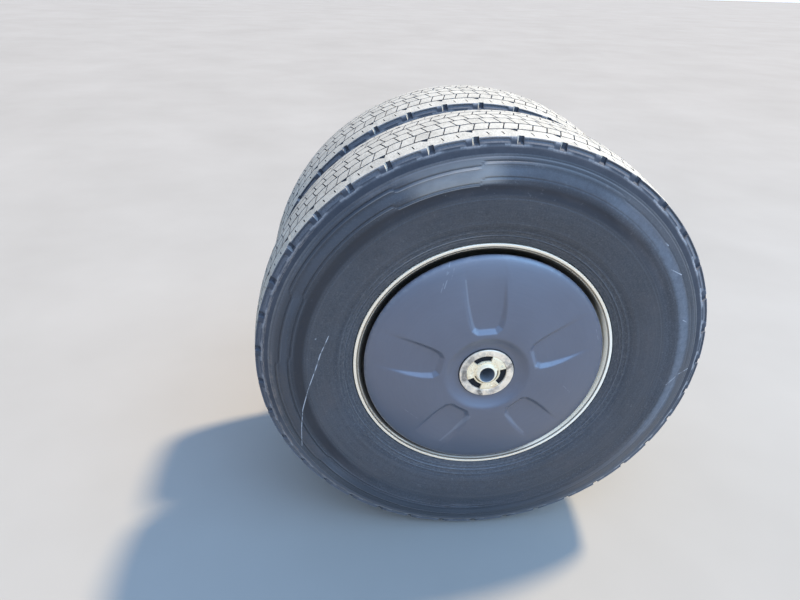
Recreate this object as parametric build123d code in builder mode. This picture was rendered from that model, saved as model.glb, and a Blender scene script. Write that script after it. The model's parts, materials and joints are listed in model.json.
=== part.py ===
from build123d import *
import os
from math import atan2, cos, degrees, hypot, radians, sin

# Rear twin drive wheel of a highway tractor unit on the end of its axle.
# Row frame, millimetres: +X the way the vehicle drives, +Y inboard, +Z up.
# The origin is on the wheel axis at the inboard end of the axle tube.
# s is the distance inboard from the wheel mounting plane, where the two discs meet.

os.makedirs("parts", exist_ok=True)

# ---------------------------------------------------------------- driving dimensions
WHEEL_PLANE = -670.0        # y of the wheel mounting plane
DUAL_HALF = 167.5           # half of the twin spacing, disc face to rim centre
FLANGE_R = 298.45           # rim flange radius, 22.5 inch rim
FLANGE_B = 117.0            # rim flange plane from the rim centre
DISC_T = 22.0               # disc thickness at the bolt circle
PILOT_R = 110.0             # wheel centre bore radius

TYRE_CROWN_R = 527.4        # worn tread, centre
CROWN_DROP = 8.0            # fall of the tread's curve at 110 from the centre
TREAD_CONE = 0.0263         # the outboard shoulder is worn lower than the inboard one
TREAD_HALF = 112.0          # half tread width
SECTION_HALF = 139.5        # half section width
SECTION_R = 412.0           # radius of the widest point

BOLT_PCD = 285.75           # ten stud circle
BOLTS = 10
STUD_R = 11.0
WHEEL_HOLE_R = 13.375
NUT_AF = 33.0
NUT_FLANGE_R = 23.0
NUT_H = 27.0
HAND_HOLES = 10
HAND_HOLE_R = 28.0
HAND_HOLE_PR = 212.0
STUD_TURN = 23.0            # first stud, degrees from +X towards +Z
HAND_TURN = 5.0             # first hand hole

SHAFT_R = 25.0
SHAFT_FLANGE_R = 106.0
SHAFT_BOLT_PCD = 180.0
SHAFT_BOLTS = 8

JOURNAL_OUT_R = 47.0        # outboard bearing journal
JOURNAL_IN_R = 62.0         # inboard bearing journal
RUN_GAP = 0.05              # radial running clearance
TUBE_R = 73.0               # axle tube
TUBE_BORE_R = 50.0
SEAT_R = 70.0               # machined seat at the tube's end
SEAT_L = 120.0
SPINDLE_BORE_R = 32.0

DRUM_R = 209.5              # braking surface
LINING_T = 19.0
LINING_GAP = 1.0
CAM_X = 164.0               # cam shaft
CAM_Z = 35.0
BRAKE_TILT = degrees(atan2(CAM_Z, CAM_X))    # cam side of the brake above the horizontal
SLACK_S = 425.0
SLACK_ARM = 152.0
CHAMBER_R = 84.0

COVER_R = 274.2             # wheel cover edge
COVER_EDGE_S = -288.7
COVER_CROWN_R = 97.0
COVER_CROWN_S = -330.5
COVER_T = 3.5
POCKETS = 5
POCKET_START = 95.0         # degrees from +X, towards +Z
LATCH_R = 61.2


def face_at(s, turn=0.0):
    """Plane across the wheel axis at s, local x along +X (or turned), local y up, facing outboard."""
    return Plane(
        origin=(0, WHEEL_PLANE + s, 0),
        x_dir=(cos(radians(turn)), 0, sin(radians(turn))),
        z_dir=(0, -1, 0),
    )


def ring_points(points):
    """(radius, s) pairs as points of the XY plane, ready to turn about the wheel axis."""
    return [(r, WHEEL_PLANE + s) for r, s in points]


def finish(part, name):
    part.label = name
    export_step(part, "parts/" + name + ".step")
    print("%-24s volume %.1f cm3" % (name, part.volume / 1000.0))


# ---------------------------------------------------------------- tyres
# half section of the casing up to the tread's edge, columns: radius, distance from the tyre's centre plane
tyre_outer = [
    (279.4, 79.0), (286.1, 103.3), (297.0, 108.6), (301.0, 117.0), (326.0, 127.0), (352.0, 134.5),
    (382.0, 138.6), (SECTION_R, SECTION_HALF), (440.0, 138.0), (466.0, 132.0), (486.0, 125.0),
    (499.0, 119.8), (507.0, 116.6), (513.5, 114.4),
]
tread_at = [TREAD_HALF, 100.0, 85.0, 68.0, 50.0, 30.0, 10.0, -10.0, -30.0, -50.0, -68.0, -85.0, -100.0, -TREAD_HALF]
tyre_inner = [
    (494.5, 0.0), (493.0, 60.0), (487.0, 98.0), (465.0, 120.0), (412.0, 127.0), (372.0, 123.0),
    (340.0, 112.0), (300.0, 92.0),
]


def tread_r(a):
    """Tread radius at a inboard of the tyre's centre plane."""
    return TYRE_CROWN_R - CROWN_DROP * (a / 110.0) ** 2 + TREAD_CONE * a


def tyre_section(centre_s):
    right = [(r, centre_s + a) for r, a in tyre_outer]
    crown = [(tread_r(a), centre_s + a) for a in tread_at]
    left = [(r, centre_s - a) for r, a in reversed(tyre_outer)]
    in_left = [(r, centre_s - a) for r, a in reversed(tyre_inner)]
    in_right = [(r, centre_s + a) for r, a in tyre_inner[1:]]
    return ring_points(right + crown + left + in_left + in_right)


with BuildPart() as outer_tyre:
    with BuildSketch(Plane.XY):
        with BuildLine():
            Polyline(tyre_section(-DUAL_HALF), close=True)
        make_face()
    revolve(axis=Axis.Y)
finish(outer_tyre.part, "outer_tyre")

with BuildPart() as inner_tyre:
    with BuildSketch(Plane.XY):
        with BuildLine():
            Polyline(tyre_section(DUAL_HALF), close=True)
        make_face()
    revolve(axis=Axis.Y)
finish(inner_tyre.part, "inner_tyre")

# ---------------------------------------------------------------- disc wheels
# full section, columns: radius, distance from the rim centre towards the disc
rim_section = [
    (287.8, -115.4), (288.8, -115.6), (289.5, -114.2), (290.9, -114.2), (291.3, -116.6), (291.9, -117.6),
    (292.8, -118.0), (296.4, -118.0), (297.5, -117.6), (298.1, -116.8),
    (FLANGE_R, -115.6), (FLANGE_R, -112.5), (291.0, -106.3), (285.75, -104.75), (279.0, -79.5),
    (274.5, -72.0), (254.0, -52.0), (254.0, -16.0), (276.0, 22.0), (279.0, 79.5), (285.75, 104.75),
    (291.0, 106.3), (FLANGE_R, 112.5), (FLANGE_R, FLANGE_B), (286.0, FLANGE_B), (270.0, 112.0),
    (262.0, 122.0), (240.0, 145.0), (215.0, 161.0), (188.0, DUAL_HALF), (PILOT_R + 0.05, DUAL_HALF),
    (PILOT_R + 0.05, DUAL_HALF - DISC_T), (185.0, DUAL_HALF - DISC_T), (212.0, 138.0), (233.0, 120.0),
    (250.0, 95.0), (262.0, 60.0), (264.0, 30.0), (243.0, -10.0), (243.0, -56.0), (264.0, -78.0),
    (273.5, -95.0), (278.8, -102.0), (280.6, -106.2), (281.6, -109.0), (283.4, -111.2),
]
VALVE_R = 262.0             # valve hole circle
VALVE_HOLE_R = 4.9

# columns: name, s of the rim centre, +1 where the disc is inboard of it, valve angle
wheel_table = [
    ("outer_wheel", -DUAL_HALF, 1.0, 59.0),
    ("inner_wheel", DUAL_HALF, -1.0, 239.0),
]
for name, centre_s, side, valve_angle in wheel_table:
    with BuildPart() as disc_wheel:
        with BuildSketch(Plane.XY):
            with BuildLine():
                Polyline(ring_points([(r, centre_s + side * b) for r, b in rim_section]), close=True)
            make_face()
        revolve(axis=Axis.Y)
        # stud holes and hand holes through the disc
        with BuildSketch(face_at(0)):
            with PolarLocations(BOLT_PCD / 2, BOLTS, start_angle=STUD_TURN):
                Circle(WHEEL_HOLE_R)
            with PolarLocations(HAND_HOLE_PR, HAND_HOLES, start_angle=HAND_TURN):
                Circle(HAND_HOLE_R)
        extrude(amount=side * 60.0, both=False, mode=Mode.SUBTRACT)
        # valve hole through the wall of the drop centre
        with BuildSketch(face_at(centre_s - side * 48.0)):
            with Locations((VALVE_R * cos(radians(valve_angle)), VALVE_R * sin(radians(valve_angle)))):
                Circle(VALVE_HOLE_R)
        extrude(amount=side * 44.0, mode=Mode.SUBTRACT)
    finish(disc_wheel.part, name)

# ---------------------------------------------------------------- valve stems
# columns: s of the rim centre, side, valve angle
with BuildPart() as valve_stems:
    for name, centre_s, side, valve_angle in wheel_table:
        at = (VALVE_R * cos(radians(valve_angle)), VALVE_R * sin(radians(valve_angle)))
        # columns: distance from the rim centre, length towards the open side, radius
        for start, length, radius in ((-45.0, 6.0, 7.2), (-51.0, 41.0, 4.6), (-92.0, 16.0, 3.4), (-108.0, 7.0, 4.8)):
            with BuildSketch(face_at(centre_s + side * start)):
                with Locations(at):
                    Circle(radius)
            extrude(amount=side * length)
finish(valve_stems.part, "valve_stems")

# ---------------------------------------------------------------- brake drum
drum_section = [
    (PILOT_R + 0.1, 22.0), (185.0, 22.0), (200.0, 30.0), (221.0, 60.0), (228.0, 80.0), (232.0, 95.0),
    (232.0, 250.0), (238.0, 250.0), (238.0, 268.0), (DRUM_R, 268.0), (DRUM_R, 78.0), (200.0, 60.0),
    (185.0, 42.0), (178.0, 34.0), (PILOT_R + 0.1, 34.0),
]
with BuildPart() as brake_drum:
    with BuildSketch(Plane.XY):
        with BuildLine():
            Polyline(ring_points(drum_section), close=True)
        make_face()
    revolve(axis=Axis.Y)
    with BuildSketch(face_at(22.0)):
        with PolarLocations(BOLT_PCD / 2, BOLTS, start_angle=STUD_TURN):
            Circle(12.0)
    extrude(amount=-12.0, mode=Mode.SUBTRACT)
finish(brake_drum.part, "brake_drum")

# ---------------------------------------------------------------- hub
hub_section = [
    (68.0, -135.0), (SHAFT_FLANGE_R, -135.0), (SHAFT_FLANGE_R, -118.0), (98.0, -110.0), (98.0, -62.0),
    (109.9, -50.0), (109.9, 34.0), (168.0, 34.0), (168.0, 56.0), (122.0, 56.0), (100.0, 80.0),
    (95.0, 100.0), (95.0, 150.0), (76.0, 150.0), (76.0, 140.0), (JOURNAL_IN_R + RUN_GAP, 140.0),
    (JOURNAL_IN_R + RUN_GAP, 80.0), (68.0, 74.0), (68.0, -62.0), (JOURNAL_OUT_R + RUN_GAP, -70.0),
    (JOURNAL_OUT_R + RUN_GAP, -100.0), (68.0, -104.0),
]
with BuildPart() as hub:
    with BuildSketch(Plane.XY):
        with BuildLine():
            Polyline(ring_points(hub_section), close=True)
        make_face()
    revolve(axis=Axis.Y)
    with BuildSketch(face_at(34.0)):
        with PolarLocations(BOLT_PCD / 2, BOLTS, start_angle=STUD_TURN):
            Circle(STUD_R + 0.05)
    extrude(amount=-24.0, mode=Mode.SUBTRACT)
    with BuildSketch(face_at(-135.0)):
        with PolarLocations(SHAFT_BOLT_PCD / 2, SHAFT_BOLTS):
            Circle(8.05)
    extrude(amount=-23.0, mode=Mode.SUBTRACT)
finish(hub.part, "hub")

# ---------------------------------------------------------------- wheel studs and flange nuts
with BuildPart() as wheel_studs:
    # columns: s where the step starts, length outboard, radius
    for start, length, radius in ((66.0, 10.0, 15.5), (56.0, 126.0, STUD_R), (-70.0, 3.0, STUD_R - 1.5)):
        with BuildSketch(face_at(start)):
            with PolarLocations(BOLT_PCD / 2, BOLTS, start_angle=STUD_TURN):
                Circle(radius)
        extrude(amount=length)
finish(wheel_studs.part, "wheel_studs")

with BuildPart() as wheel_nuts:
    with BuildSketch(face_at(-DISC_T)):
        with PolarLocations(BOLT_PCD / 2, BOLTS, start_angle=STUD_TURN):
            Circle(NUT_FLANGE_R)
            Circle(STUD_R + 0.05, mode=Mode.SUBTRACT)
    extrude(amount=7.0)
    with BuildSketch(face_at(-DISC_T - 7.0)):
        with PolarLocations(BOLT_PCD / 2, BOLTS, start_angle=STUD_TURN):
            RegularPolygon(NUT_AF / 2, 6, major_radius=False)
            Circle(STUD_R + 0.05, mode=Mode.SUBTRACT)
    extrude(amount=NUT_H - 7.0)
finish(wheel_nuts.part, "wheel_nuts")

# ---------------------------------------------------------------- axle shaft and its flange bolts
SHAFT_END_S = 820.0
shaft_section = [
    (0.0, -166.0), (22.0, -166.0), (30.0, -158.0), (44.0, -153.0), (60.0, -151.0),
    (SHAFT_FLANGE_R, -151.0), (SHAFT_FLANGE_R, -135.0), (60.0, -135.0), (34.0, -128.0),
    (SHAFT_R, -110.0), (SHAFT_R, 690.0), (27.0, 700.0), (27.0, SHAFT_END_S - 4.0), (24.0, SHAFT_END_S),
    (0.0, SHAFT_END_S),
]
with BuildPart() as axle_shaft:
    with BuildSketch(Plane.XY):
        with BuildLine():
            Polyline(ring_points(shaft_section), close=True)
        make_face()
    revolve(axis=Axis.Y)
    # spline grooves on the inboard end
    with BuildSketch(face_at(SHAFT_END_S)):
        with PolarLocations(27.4, 20):
            Circle(1.9)
    extrude(amount=100.0, mode=Mode.SUBTRACT)
    with BuildSketch(face_at(-151.0)):
        with PolarLocations(SHAFT_BOLT_PCD / 2, SHAFT_BOLTS):
            Circle(8.4)
    extrude(amount=-16.0, mode=Mode.SUBTRACT)
finish(axle_shaft.part, "axle_shaft")

with BuildPart() as shaft_flange_bolts:
    with BuildSketch(face_at(-114.0)):
        with PolarLocations(SHAFT_BOLT_PCD / 2, SHAFT_BOLTS):
            Circle(8.0)
    extrude(amount=37.0)
    with BuildSketch(face_at(-151.0)):
        with PolarLocations(SHAFT_BOLT_PCD / 2, SHAFT_BOLTS):
            Circle(12.8)
    extrude(amount=2.5)
    with BuildSketch(face_at(-153.5)):
        with PolarLocations(SHAFT_BOLT_PCD / 2, SHAFT_BOLTS):
            RegularPolygon(11.5, 6, major_radius=False)
    extrude(amount=9.5)
finish(shaft_flange_bolts.part, "shaft_flange_bolts")

# ---------------------------------------------------------------- cover bracket: five posts and a ring
POST_START = STUD_TURN + 36.0    # posts stand on every second stud, between the pockets
with BuildPart() as cover_bracket:
    # posts: threaded over the stud ends, then solid; columns: s start, length, outer radius, bore radius
    for start, length, radius, bore in ((-49.0, 26.0, 17.0, STUD_R + 0.05), (-75.0, 193.0, 12.0, 0.0)):
        with BuildSketch(face_at(start)):
            with PolarLocations(BOLT_PCD / 2, 5, start_angle=POST_START):
                Circle(radius)
                if bore:
                    Circle(bore, mode=Mode.SUBTRACT)
        extrude(amount=length)
    with BuildSketch(face_at(-268.0)):
        Circle(160.0)
        with PolarLocations(90.0, 5, start_angle=POST_START + 36.0):
            Circle(24.0, mode=Mode.SUBTRACT)
        Circle(22.0, mode=Mode.SUBTRACT)
    extrude(amount=6.0)
    with BuildSketch(face_at(-274.0)):
        Circle(42.0)
        Circle(31.0, mode=Mode.SUBTRACT)
    extrude(amount=41.0)
finish(cover_bracket.part, "cover_bracket")

# ---------------------------------------------------------------- wheel cover: moulded dome with five pockets
# columns: radius, s; outer face of the plain dome from the edge to the centre dish
dome_outer = [
    (COVER_R, COVER_EDGE_S), (270.0, -293.5), (262.0, -298.0), (238.0, -306.5), (210.0, -314.0),
    (180.0, -320.5), (150.0, -325.5), (122.0, -329.0), (COVER_CROWN_R, COVER_CROWN_S), (92.0, -329.0),
    (86.0, -325.5), (70.0, -319.0), (66.0, -318.5),
]
dome_inner = [(r, s + COVER_T) for r, s in dome_outer[1:]]
CORE_HOLE_R = 30.0


def dome_block(points, back_s, edge_r):
    """Solid of revolution between an outer face and a flat back."""
    outline = [(edge_r, back_s)] + points + [(0.0, points[-1][1]), (0.0, back_s)]
    with BuildPart(mode=Mode.PRIVATE) as block:
        with BuildSketch(Plane.XY):
            with BuildLine():
                Polyline(ring_points(outline), close=True)
            make_face()
        revolve(axis=Axis.Y)
    return block.part


# pocket outline in its own plane: u runs outward from the axis, w across
# columns: u, half width
pocket_outline = [(114.5, 18.0), (121.0, 25.5), (140.0, 31.5), (165.0, 36.0), (195.0, 39.5), (220.0, 41.5), (240.0, 42.0)]
POCKET_SLOPE = 5.6          # degrees, floor against the wheel plane
POCKET_DEEP_S = -320.9      # floor at the inner end
POCKET_INNER_U = 114.0
POCKET_DRAFT = 50.0         # degrees, slant of the pocket's walls


def pocket_cutters(grow, deeper, angle):
    """Prism over the pocket outline, its floor nearly flat, reaching out past the dome."""
    floor = Plane(
        origin=(
            POCKET_INNER_U * cos(radians(angle)),
            WHEEL_PLANE + POCKET_DEEP_S + deeper,
            POCKET_INNER_U * sin(radians(angle)),
        ),
        x_dir=(
            cos(radians(angle)) * cos(radians(POCKET_SLOPE)),
            sin(radians(POCKET_SLOPE)),
            sin(radians(angle)) * cos(radians(POCKET_SLOPE)),
        ),
        z_dir=(
            cos(radians(angle)) * sin(radians(POCKET_SLOPE)),
            -cos(radians(POCKET_SLOPE)),
            sin(radians(angle)) * sin(radians(POCKET_SLOPE)),
        ),
    )
    right = [(u - POCKET_INNER_U, w) for u, w in pocket_outline]
    left = [(u, -w) for u, w in reversed(right)]
    with BuildPart(mode=Mode.PRIVATE) as cutter:
        with BuildSketch(floor):
            with BuildLine():
                Polyline(right + left, close=True)
            make_face()
            if grow:
                offset(amount=grow, kind=Kind.INTERSECTION)
        extrude(amount=18.0, taper=-POCKET_DRAFT)
    return cutter.part


outer_block = dome_block(dome_outer, COVER_EDGE_S + 5.0, COVER_R)
inner_block = dome_block(dome_inner, COVER_EDGE_S + 5.0, COVER_R - COVER_T)
for k in range(POCKETS):
    pocket_angle = POCKET_START + k * 360.0 / POCKETS
    outer_block = outer_block - pocket_cutters(0.0, 0.0, pocket_angle)
    inner_block = inner_block - pocket_cutters(COVER_T, COVER_T, pocket_angle)
cover_solid = outer_block - inner_block
cover_solid = cover_solid - extrude(face_at(-200.0) * Circle(CORE_HOLE_R), amount=200.0)
finish(cover_solid, "wheel_cover")

# ---------------------------------------------------------------- latch at the cover's centre
DISH_S = -318.5
with BuildPart() as latch_ring:
    with BuildSketch(Plane.XY):
        with BuildLine():
            Polyline(
                ring_points([
                    (45.2, DISH_S), (LATCH_R, DISH_S), (LATCH_R, DISH_S - 4.3), (LATCH_R - 1.2, DISH_S - 5.5),
                    (45.7, DISH_S - 5.5), (45.2, DISH_S - 5.0),
                ]),
                close=True,
            )
        make_face()
    revolve(axis=Axis.Y)
finish(latch_ring.part, "latch_ring")

SLOT_IN, SLOT_OUT, SLOT_SPAN = 32.5, 47.0, 58.0
with BuildPart() as latch_plate:
    with BuildSketch(face_at(DISH_S)):
        Circle(44.8)
        Circle(29.1, mode=Mode.SUBTRACT)
        for centre in (106.0, 226.0, 346.0):
            with BuildLine():
                a0 = centre - SLOT_SPAN / 2
                outer_arc = CenterArc((0, 0), SLOT_OUT, a0, SLOT_SPAN)
                inner_arc = CenterArc((0, 0), SLOT_IN, a0, SLOT_SPAN)
                Line(outer_arc @ 0, inner_arc @ 0)
                Line(outer_arc @ 1, inner_arc @ 1)
            make_face(mode=Mode.SUBTRACT)
    extrude(amount=5.0)
finish(latch_plate.part, "latch_plate")

with BuildPart() as latch_core:
    with BuildSketch(Plane.XY):
        with BuildLine():
            Polyline(
                ring_points([
                    (0.0, -256.0), (9.0, -256.0), (9.0, -274.0), (28.9, -274.0), (28.9, DISH_S - 4.8),
                    (27.6, DISH_S - 4.8), (27.0, DISH_S - 3.0), (24.4, DISH_S - 3.0), (23.8, DISH_S - 5.5),
                    (22.6, DISH_S - 9.5), (20.2, DISH_S - 12.2), (18.2, DISH_S - 13.0), (16.6, DISH_S - 12.0),
                    (16.6, -286.0), (8.0, -286.0), (8.0, -300.0), (0.0, -300.0),
                ]),
                close=True,
            )
        make_face()
    revolve(axis=Axis.Y)
finish(latch_core.part, "latch_core")

# ---------------------------------------------------------------- axle arm: spindle, brake flange, tube, seat
arm_section = [
    (SPINDLE_BORE_R, -105.0), (JOURNAL_OUT_R - 2.0, -105.0), (JOURNAL_OUT_R, -103.0), (JOURNAL_OUT_R, -68.0),
    (45.0, -64.0), (57.0, 76.0), (JOURNAL_IN_R, 80.0), (JOURNAL_IN_R, 146.0), (68.0, 152.0), (TUBE_R, 156.0),
    (TUBE_R, 172.0), (115.0, 172.0), (115.0, 186.0), (81.5, 186.0), (TUBE_R, 196.0), (TUBE_R, 545.0),
    (SEAT_R, 550.0), (SEAT_R, 670.0), (TUBE_BORE_R, 670.0), (TUBE_BORE_R, 210.0), (SPINDLE_BORE_R, 170.0),
]
with BuildPart() as axle_arm:
    with BuildSketch(Plane.XY):
        with BuildLine():
            Polyline(ring_points(arm_section), close=True)
        make_face()
    revolve(axis=Axis.Y)
    with BuildSketch(face_at(172.0, BRAKE_TILT)):
        with PolarLocations(96.0, 8, start_angle=22.5):
            Circle(8.4)
    extrude(amount=-16.0, mode=Mode.SUBTRACT)
finish(axle_arm.part, "axle_arm")

# ---------------------------------------------------------------- brake, in a frame turned so that the cam is on its +x side
CAM_R = hypot(CAM_X, CAM_Z)
ANCHOR = (-160.0, 25.0)     # anchor pin, the other is mirrored
ROLLER = (163.0, 39.0)      # cam roller, the other is mirrored
LINING_R = DRUM_R - LINING_GAP
TABLE_R = LINING_R - LINING_T

with BuildPart() as brake_spider:
    # plate carried by the axle's brake flange, with two ears for the anchor pins
    with BuildSketch(face_at(172.0, BRAKE_TILT)):
        Circle(114.0)
        with BuildLine():
            Polyline([(-60.0, 95.0), (-150.0, 45.0), (-178.0, 36.0), (-178.0, -36.0), (-150.0, -45.0), (-60.0, -95.0)],
                     close=True)
        make_face()
        with Locations((112.0, 0.0)):
            Rectangle(50.0, 56.0)
        Circle(TUBE_R + 0.3, mode=Mode.SUBTRACT)
        with PolarLocations(96.0, 8, start_angle=22.5):
            Circle(8.4, mode=Mode.SUBTRACT)
        with Locations((ANCHOR[0], ANCHOR[1]), (ANCHOR[0], -ANCHOR[1])):
            Circle(16.1, mode=Mode.SUBTRACT)
    extrude(amount=14.0)
    # link past the brake flange to the cam's support plate
    with BuildSketch(face_at(216.0, BRAKE_TILT)):
        with Locations((127.0, 0.0)):
            Rectangle(20.0, 56.0)
    extrude(amount=44.0)
    with BuildSketch(face_at(216.0, BRAKE_TILT)):
        with BuildLine():
            Polyline([(40.0, 78.0), (CAM_R, 36.0), (CAM_R, -36.0), (40.0, -78.0)], close=True)
        make_face()
        with Locations((CAM_R, 0.0)):
            Circle(36.0)
        Circle(TUBE_R + 0.3, mode=Mode.SUBTRACT)
        with Locations((CAM_R, 0.0)):
            Circle(22.6, mode=Mode.SUBTRACT)
    extrude(amount=14.0)
finish(brake_spider.part, "brake_spider")

with BuildPart() as spider_bolts:
    with BuildSketch(face_at(201.0, BRAKE_TILT)):
        with PolarLocations(96.0, 8, start_angle=22.5):
            Circle(8.0)
    extrude(amount=44.0)
    with BuildSketch(face_at(198.0, BRAKE_TILT)):
        with PolarLocations(96.0, 8, start_angle=22.5):
            RegularPolygon(12.0, 6, major_radius=False)
    extrude(amount=12.0)
finish(spider_bolts.part, "spider_bolts")

# shoes: columns: name, side of the brake (+1 upper, -1 lower)
shoe_table = [("upper_brake_shoe", 1.0), ("lower_brake_shoe", -1.0)]
WEB_S = (142.0, 187.0)      # outboard face of each web
WEB_T = 9.0
for name, up in shoe_table:
    with BuildPart() as shoe:
        # table under the linings
        with BuildSketch(face_at(250.0, BRAKE_TILT)):
            with BuildLine():
                table_out = CenterArc((0, 0), TABLE_R, up * 20.0, up * 140.0)
                table_in = CenterArc((0, 0), TABLE_R - 5.5, up * 20.0, up * 140.0)
                Line(table_out @ 0, table_in @ 0)
                Line(table_out @ 1, table_in @ 1)
            make_face()
        extrude(amount=158.0)
        # two webs, hooked over the anchor pin and carrying the roller pin
        for web_s in WEB_S:
            with BuildSketch(face_at(web_s + WEB_T, BRAKE_TILT)):
                with BuildLine():
                    web_out = CenterArc((0, 0), TABLE_R - 5.0, up * 18.0, up * 148.0)
                    web_in = CenterArc((0, 0), 146.0, up * 18.0, up * 148.0)
                    Line(web_out @ 0, web_in @ 0)
                    Line(web_out @ 1, web_in @ 1)
                make_face()
                with Locations((ANCHOR[0], up * ANCHOR[1])):
                    Circle(25.5)
                with Locations((ROLLER[0], up * ROLLER[1])):
                    Circle(21.0)
                with Locations((ANCHOR[0], up * ANCHOR[1])):
                    Circle(16.15, mode=Mode.SUBTRACT)
                with Locations((ROLLER[0], up * ROLLER[1])):
                    Circle(8.15, mode=Mode.SUBTRACT)
                # the two shoes stop short of each other
                with Locations((ANCHOR[0] - 30.0, -up * 49.0), (CAM_R, -up * 40.0)):
                    Rectangle(160.0, 100.0, mode=Mode.SUBTRACT)
            extrude(amount=WEB_T)
    finish(shoe.part, name)

with BuildPart() as brake_linings:
    for name, up in shoe_table:
        # columns: start angle, span
        for start, span in ((26.0, 62.0), (92.0, 62.0)):
            with BuildSketch(face_at(258.0, BRAKE_TILT)):
                with BuildLine():
                    lining_out = CenterArc((0, 0), LINING_R, up * start, up * span)
                    lining_in = CenterArc((0, 0), TABLE_R + 0.02, up * start, up * span)
                    Line(lining_out @ 0, lining_in @ 0)
                    Line(lining_out @ 1, lining_in @ 1)
                make_face()
            extrude(amount=174.0)
finish(brake_linings.part, "brake_linings")

with BuildPart() as anchor_pins:
    with BuildSketch(face_at(202.0, BRAKE_TILT)):
        with Locations((ANCHOR[0], ANCHOR[1]), (ANCHOR[0], -ANCHOR[1])):
            Circle(16.0)
    extrude(amount=66.0)
    # snap ring collars outside the webs
    for collar_s in (139.5, 201.0):
        with BuildSketch(face_at(collar_s, BRAKE_TILT)):
            with Locations((ANCHOR[0], ANCHOR[1]), (ANCHOR[0], -ANCHOR[1])):
                Circle(19.0)
        extrude(amount=3.0)
finish(anchor_pins.part, "anchor_pins")

with BuildPart() as cam_rollers:
    with BuildSketch(face_at(186.5, BRAKE_TILT)):
        with Locations((ROLLER[0], ROLLER[1]), (ROLLER[0], -ROLLER[1])):
            Circle(16.0)
    extrude(amount=35.0)
    with BuildSketch(face_at(200.0, BRAKE_TILT)):
        with Locations((ROLLER[0], ROLLER[1]), (ROLLER[0], -ROLLER[1])):
            Circle(8.0)
    extrude(amount=62.0)
finish(cam_rollers.part, "cam_rollers")

CAM_END_S = 446.0
CAM_SHAFT_R = 18.0
with BuildPart() as cam_shaft:
    # head: two lobes that spread the rollers
    with BuildSketch(face_at(186.0, BRAKE_TILT)):
        with Locations((CAM_R, 0.0)):
            Circle(20.0)
        with Locations((CAM_R + 9.0, 9.0), (CAM_R - 9.0, -9.0)):
            Circle(12.5)
    extrude(amount=34.0)
    with BuildSketch(face_at(CAM_END_S, BRAKE_TILT)):
        with Locations((CAM_R, 0.0)):
            Circle(CAM_SHAFT_R)
    extrude(amount=CAM_END_S - 186.0)
finish(cam_shaft.part, "cam_shaft")

with BuildPart() as cam_tube:
    with BuildSketch(face_at(395.0)):
        with Locations((CAM_X, CAM_Z)):
            Circle(29.0)
            Circle(22.5, mode=Mode.SUBTRACT)
    extrude(amount=179.0)
    with BuildSketch(face_at(395.0)):
        with Locations((CAM_X, CAM_Z)):
            Circle(33.0)
            Circle(CAM_SHAFT_R + 0.1, mode=Mode.SUBTRACT)
    extrude(amount=14.0)
finish(cam_tube.part, "cam_tube")

# pull-back spring between the shoes, beside the cam
with BuildPart() as shoe_return_spring:
    SPRING_X, SPRING_S = 124.0, 139.0
    spring_plane = Plane(
        origin=(
            SPRING_X * cos(radians(BRAKE_TILT)) + 62.0 * sin(radians(BRAKE_TILT)),
            WHEEL_PLANE + SPRING_S,
            SPRING_X * sin(radians(BRAKE_TILT)) - 62.0 * cos(radians(BRAKE_TILT)),
        ),
        x_dir=(0, 1, 0),
        z_dir=(-sin(radians(BRAKE_TILT)), 0, cos(radians(BRAKE_TILT))),
    )
    # columns: distance along the spring, length, radius
    for start, length, radius in [(-44.0, 212.0, 3.0)] + [(10.0 + 8.5 * k, 5.2, 10.5) for k in range(12)]:
        with BuildSketch(spring_plane.offset(start)):
            Circle(radius)
        extrude(amount=length)
finish(shoe_return_spring.part, "shoe_return_spring")

CLEVIS_Z = CAM_Z + SLACK_ARM
with BuildPart() as slack_adjuster:
    with BuildSketch(face_at(SLACK_S + 14.0)):
        with Locations((CAM_X, CAM_Z)):
            Circle(38.0)
        with BuildLine():
            Polyline([
                (CAM_X - 34.0, CAM_Z + 10.0), (CAM_X - 15.0, CLEVIS_Z), (CAM_X + 15.0, CLEVIS_Z), (CAM_X + 34.0, CAM_Z + 10.0),
            ], close=True)
        make_face()
        with Locations((CAM_X, CLEVIS_Z)):
            Circle(16.0)
        with Locations((CAM_X, CAM_Z)):
            Circle(CAM_SHAFT_R + 0.1, mode=Mode.SUBTRACT)
        with Locations((CAM_X, CLEVIS_Z)):
            Circle(6.45, mode=Mode.SUBTRACT)
    extrude(amount=28.0)
    # worm housing across the body
    with BuildSketch(Plane.YZ.offset(CAM_X + 20.0)):
        with Locations((WHEEL_PLANE + SLACK_S, CAM_Z + 42.0)):
            Circle(17.0)
    extrude(amount=26.0)
finish(slack_adjuster.part, "slack_adjuster")

PLATE_X = 74.0
with BuildPart() as chamber_bracket:
    with BuildSketch(Plane.YZ.offset(PLATE_X)):
        with BuildLine():
            Polyline([
                (WHEEL_PLANE + 352.0, -36.0), (WHEEL_PLANE + 498.0, -36.0), (WHEEL_PLANE + 498.0, 130.0),
                (WHEEL_PLANE + 488.0, 252.0), (WHEEL_PLANE + 362.0, 252.0), (WHEEL_PLANE + 352.0, 130.0),
            ], close=True)
        make_face()
        with Locations((WHEEL_PLANE + SLACK_S, CLEVIS_Z)):
            Circle(20.0, mode=Mode.SUBTRACT)
        with Locations((WHEEL_PLANE + SLACK_S - 45.0, CLEVIS_Z), (WHEEL_PLANE + SLACK_S + 45.0, CLEVIS_Z)):
            Circle(8.4, mode=Mode.SUBTRACT)
    extrude(amount=12.0)
    # gussets down to the axle tube
    for gusset_s in (366.0, 498.0):
        with BuildSketch(face_at(gusset_s)):
            with BuildLine():
                Polyline([(PLATE_X, 96.0), (PLATE_X, -34.0), (40.0, -34.0), (20.0, 60.0), (30.0, 82.0)], close=True)
            make_face()
            Circle(TUBE_R + 0.02, mode=Mode.SUBTRACT)
        extrude(amount=14.0)
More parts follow.
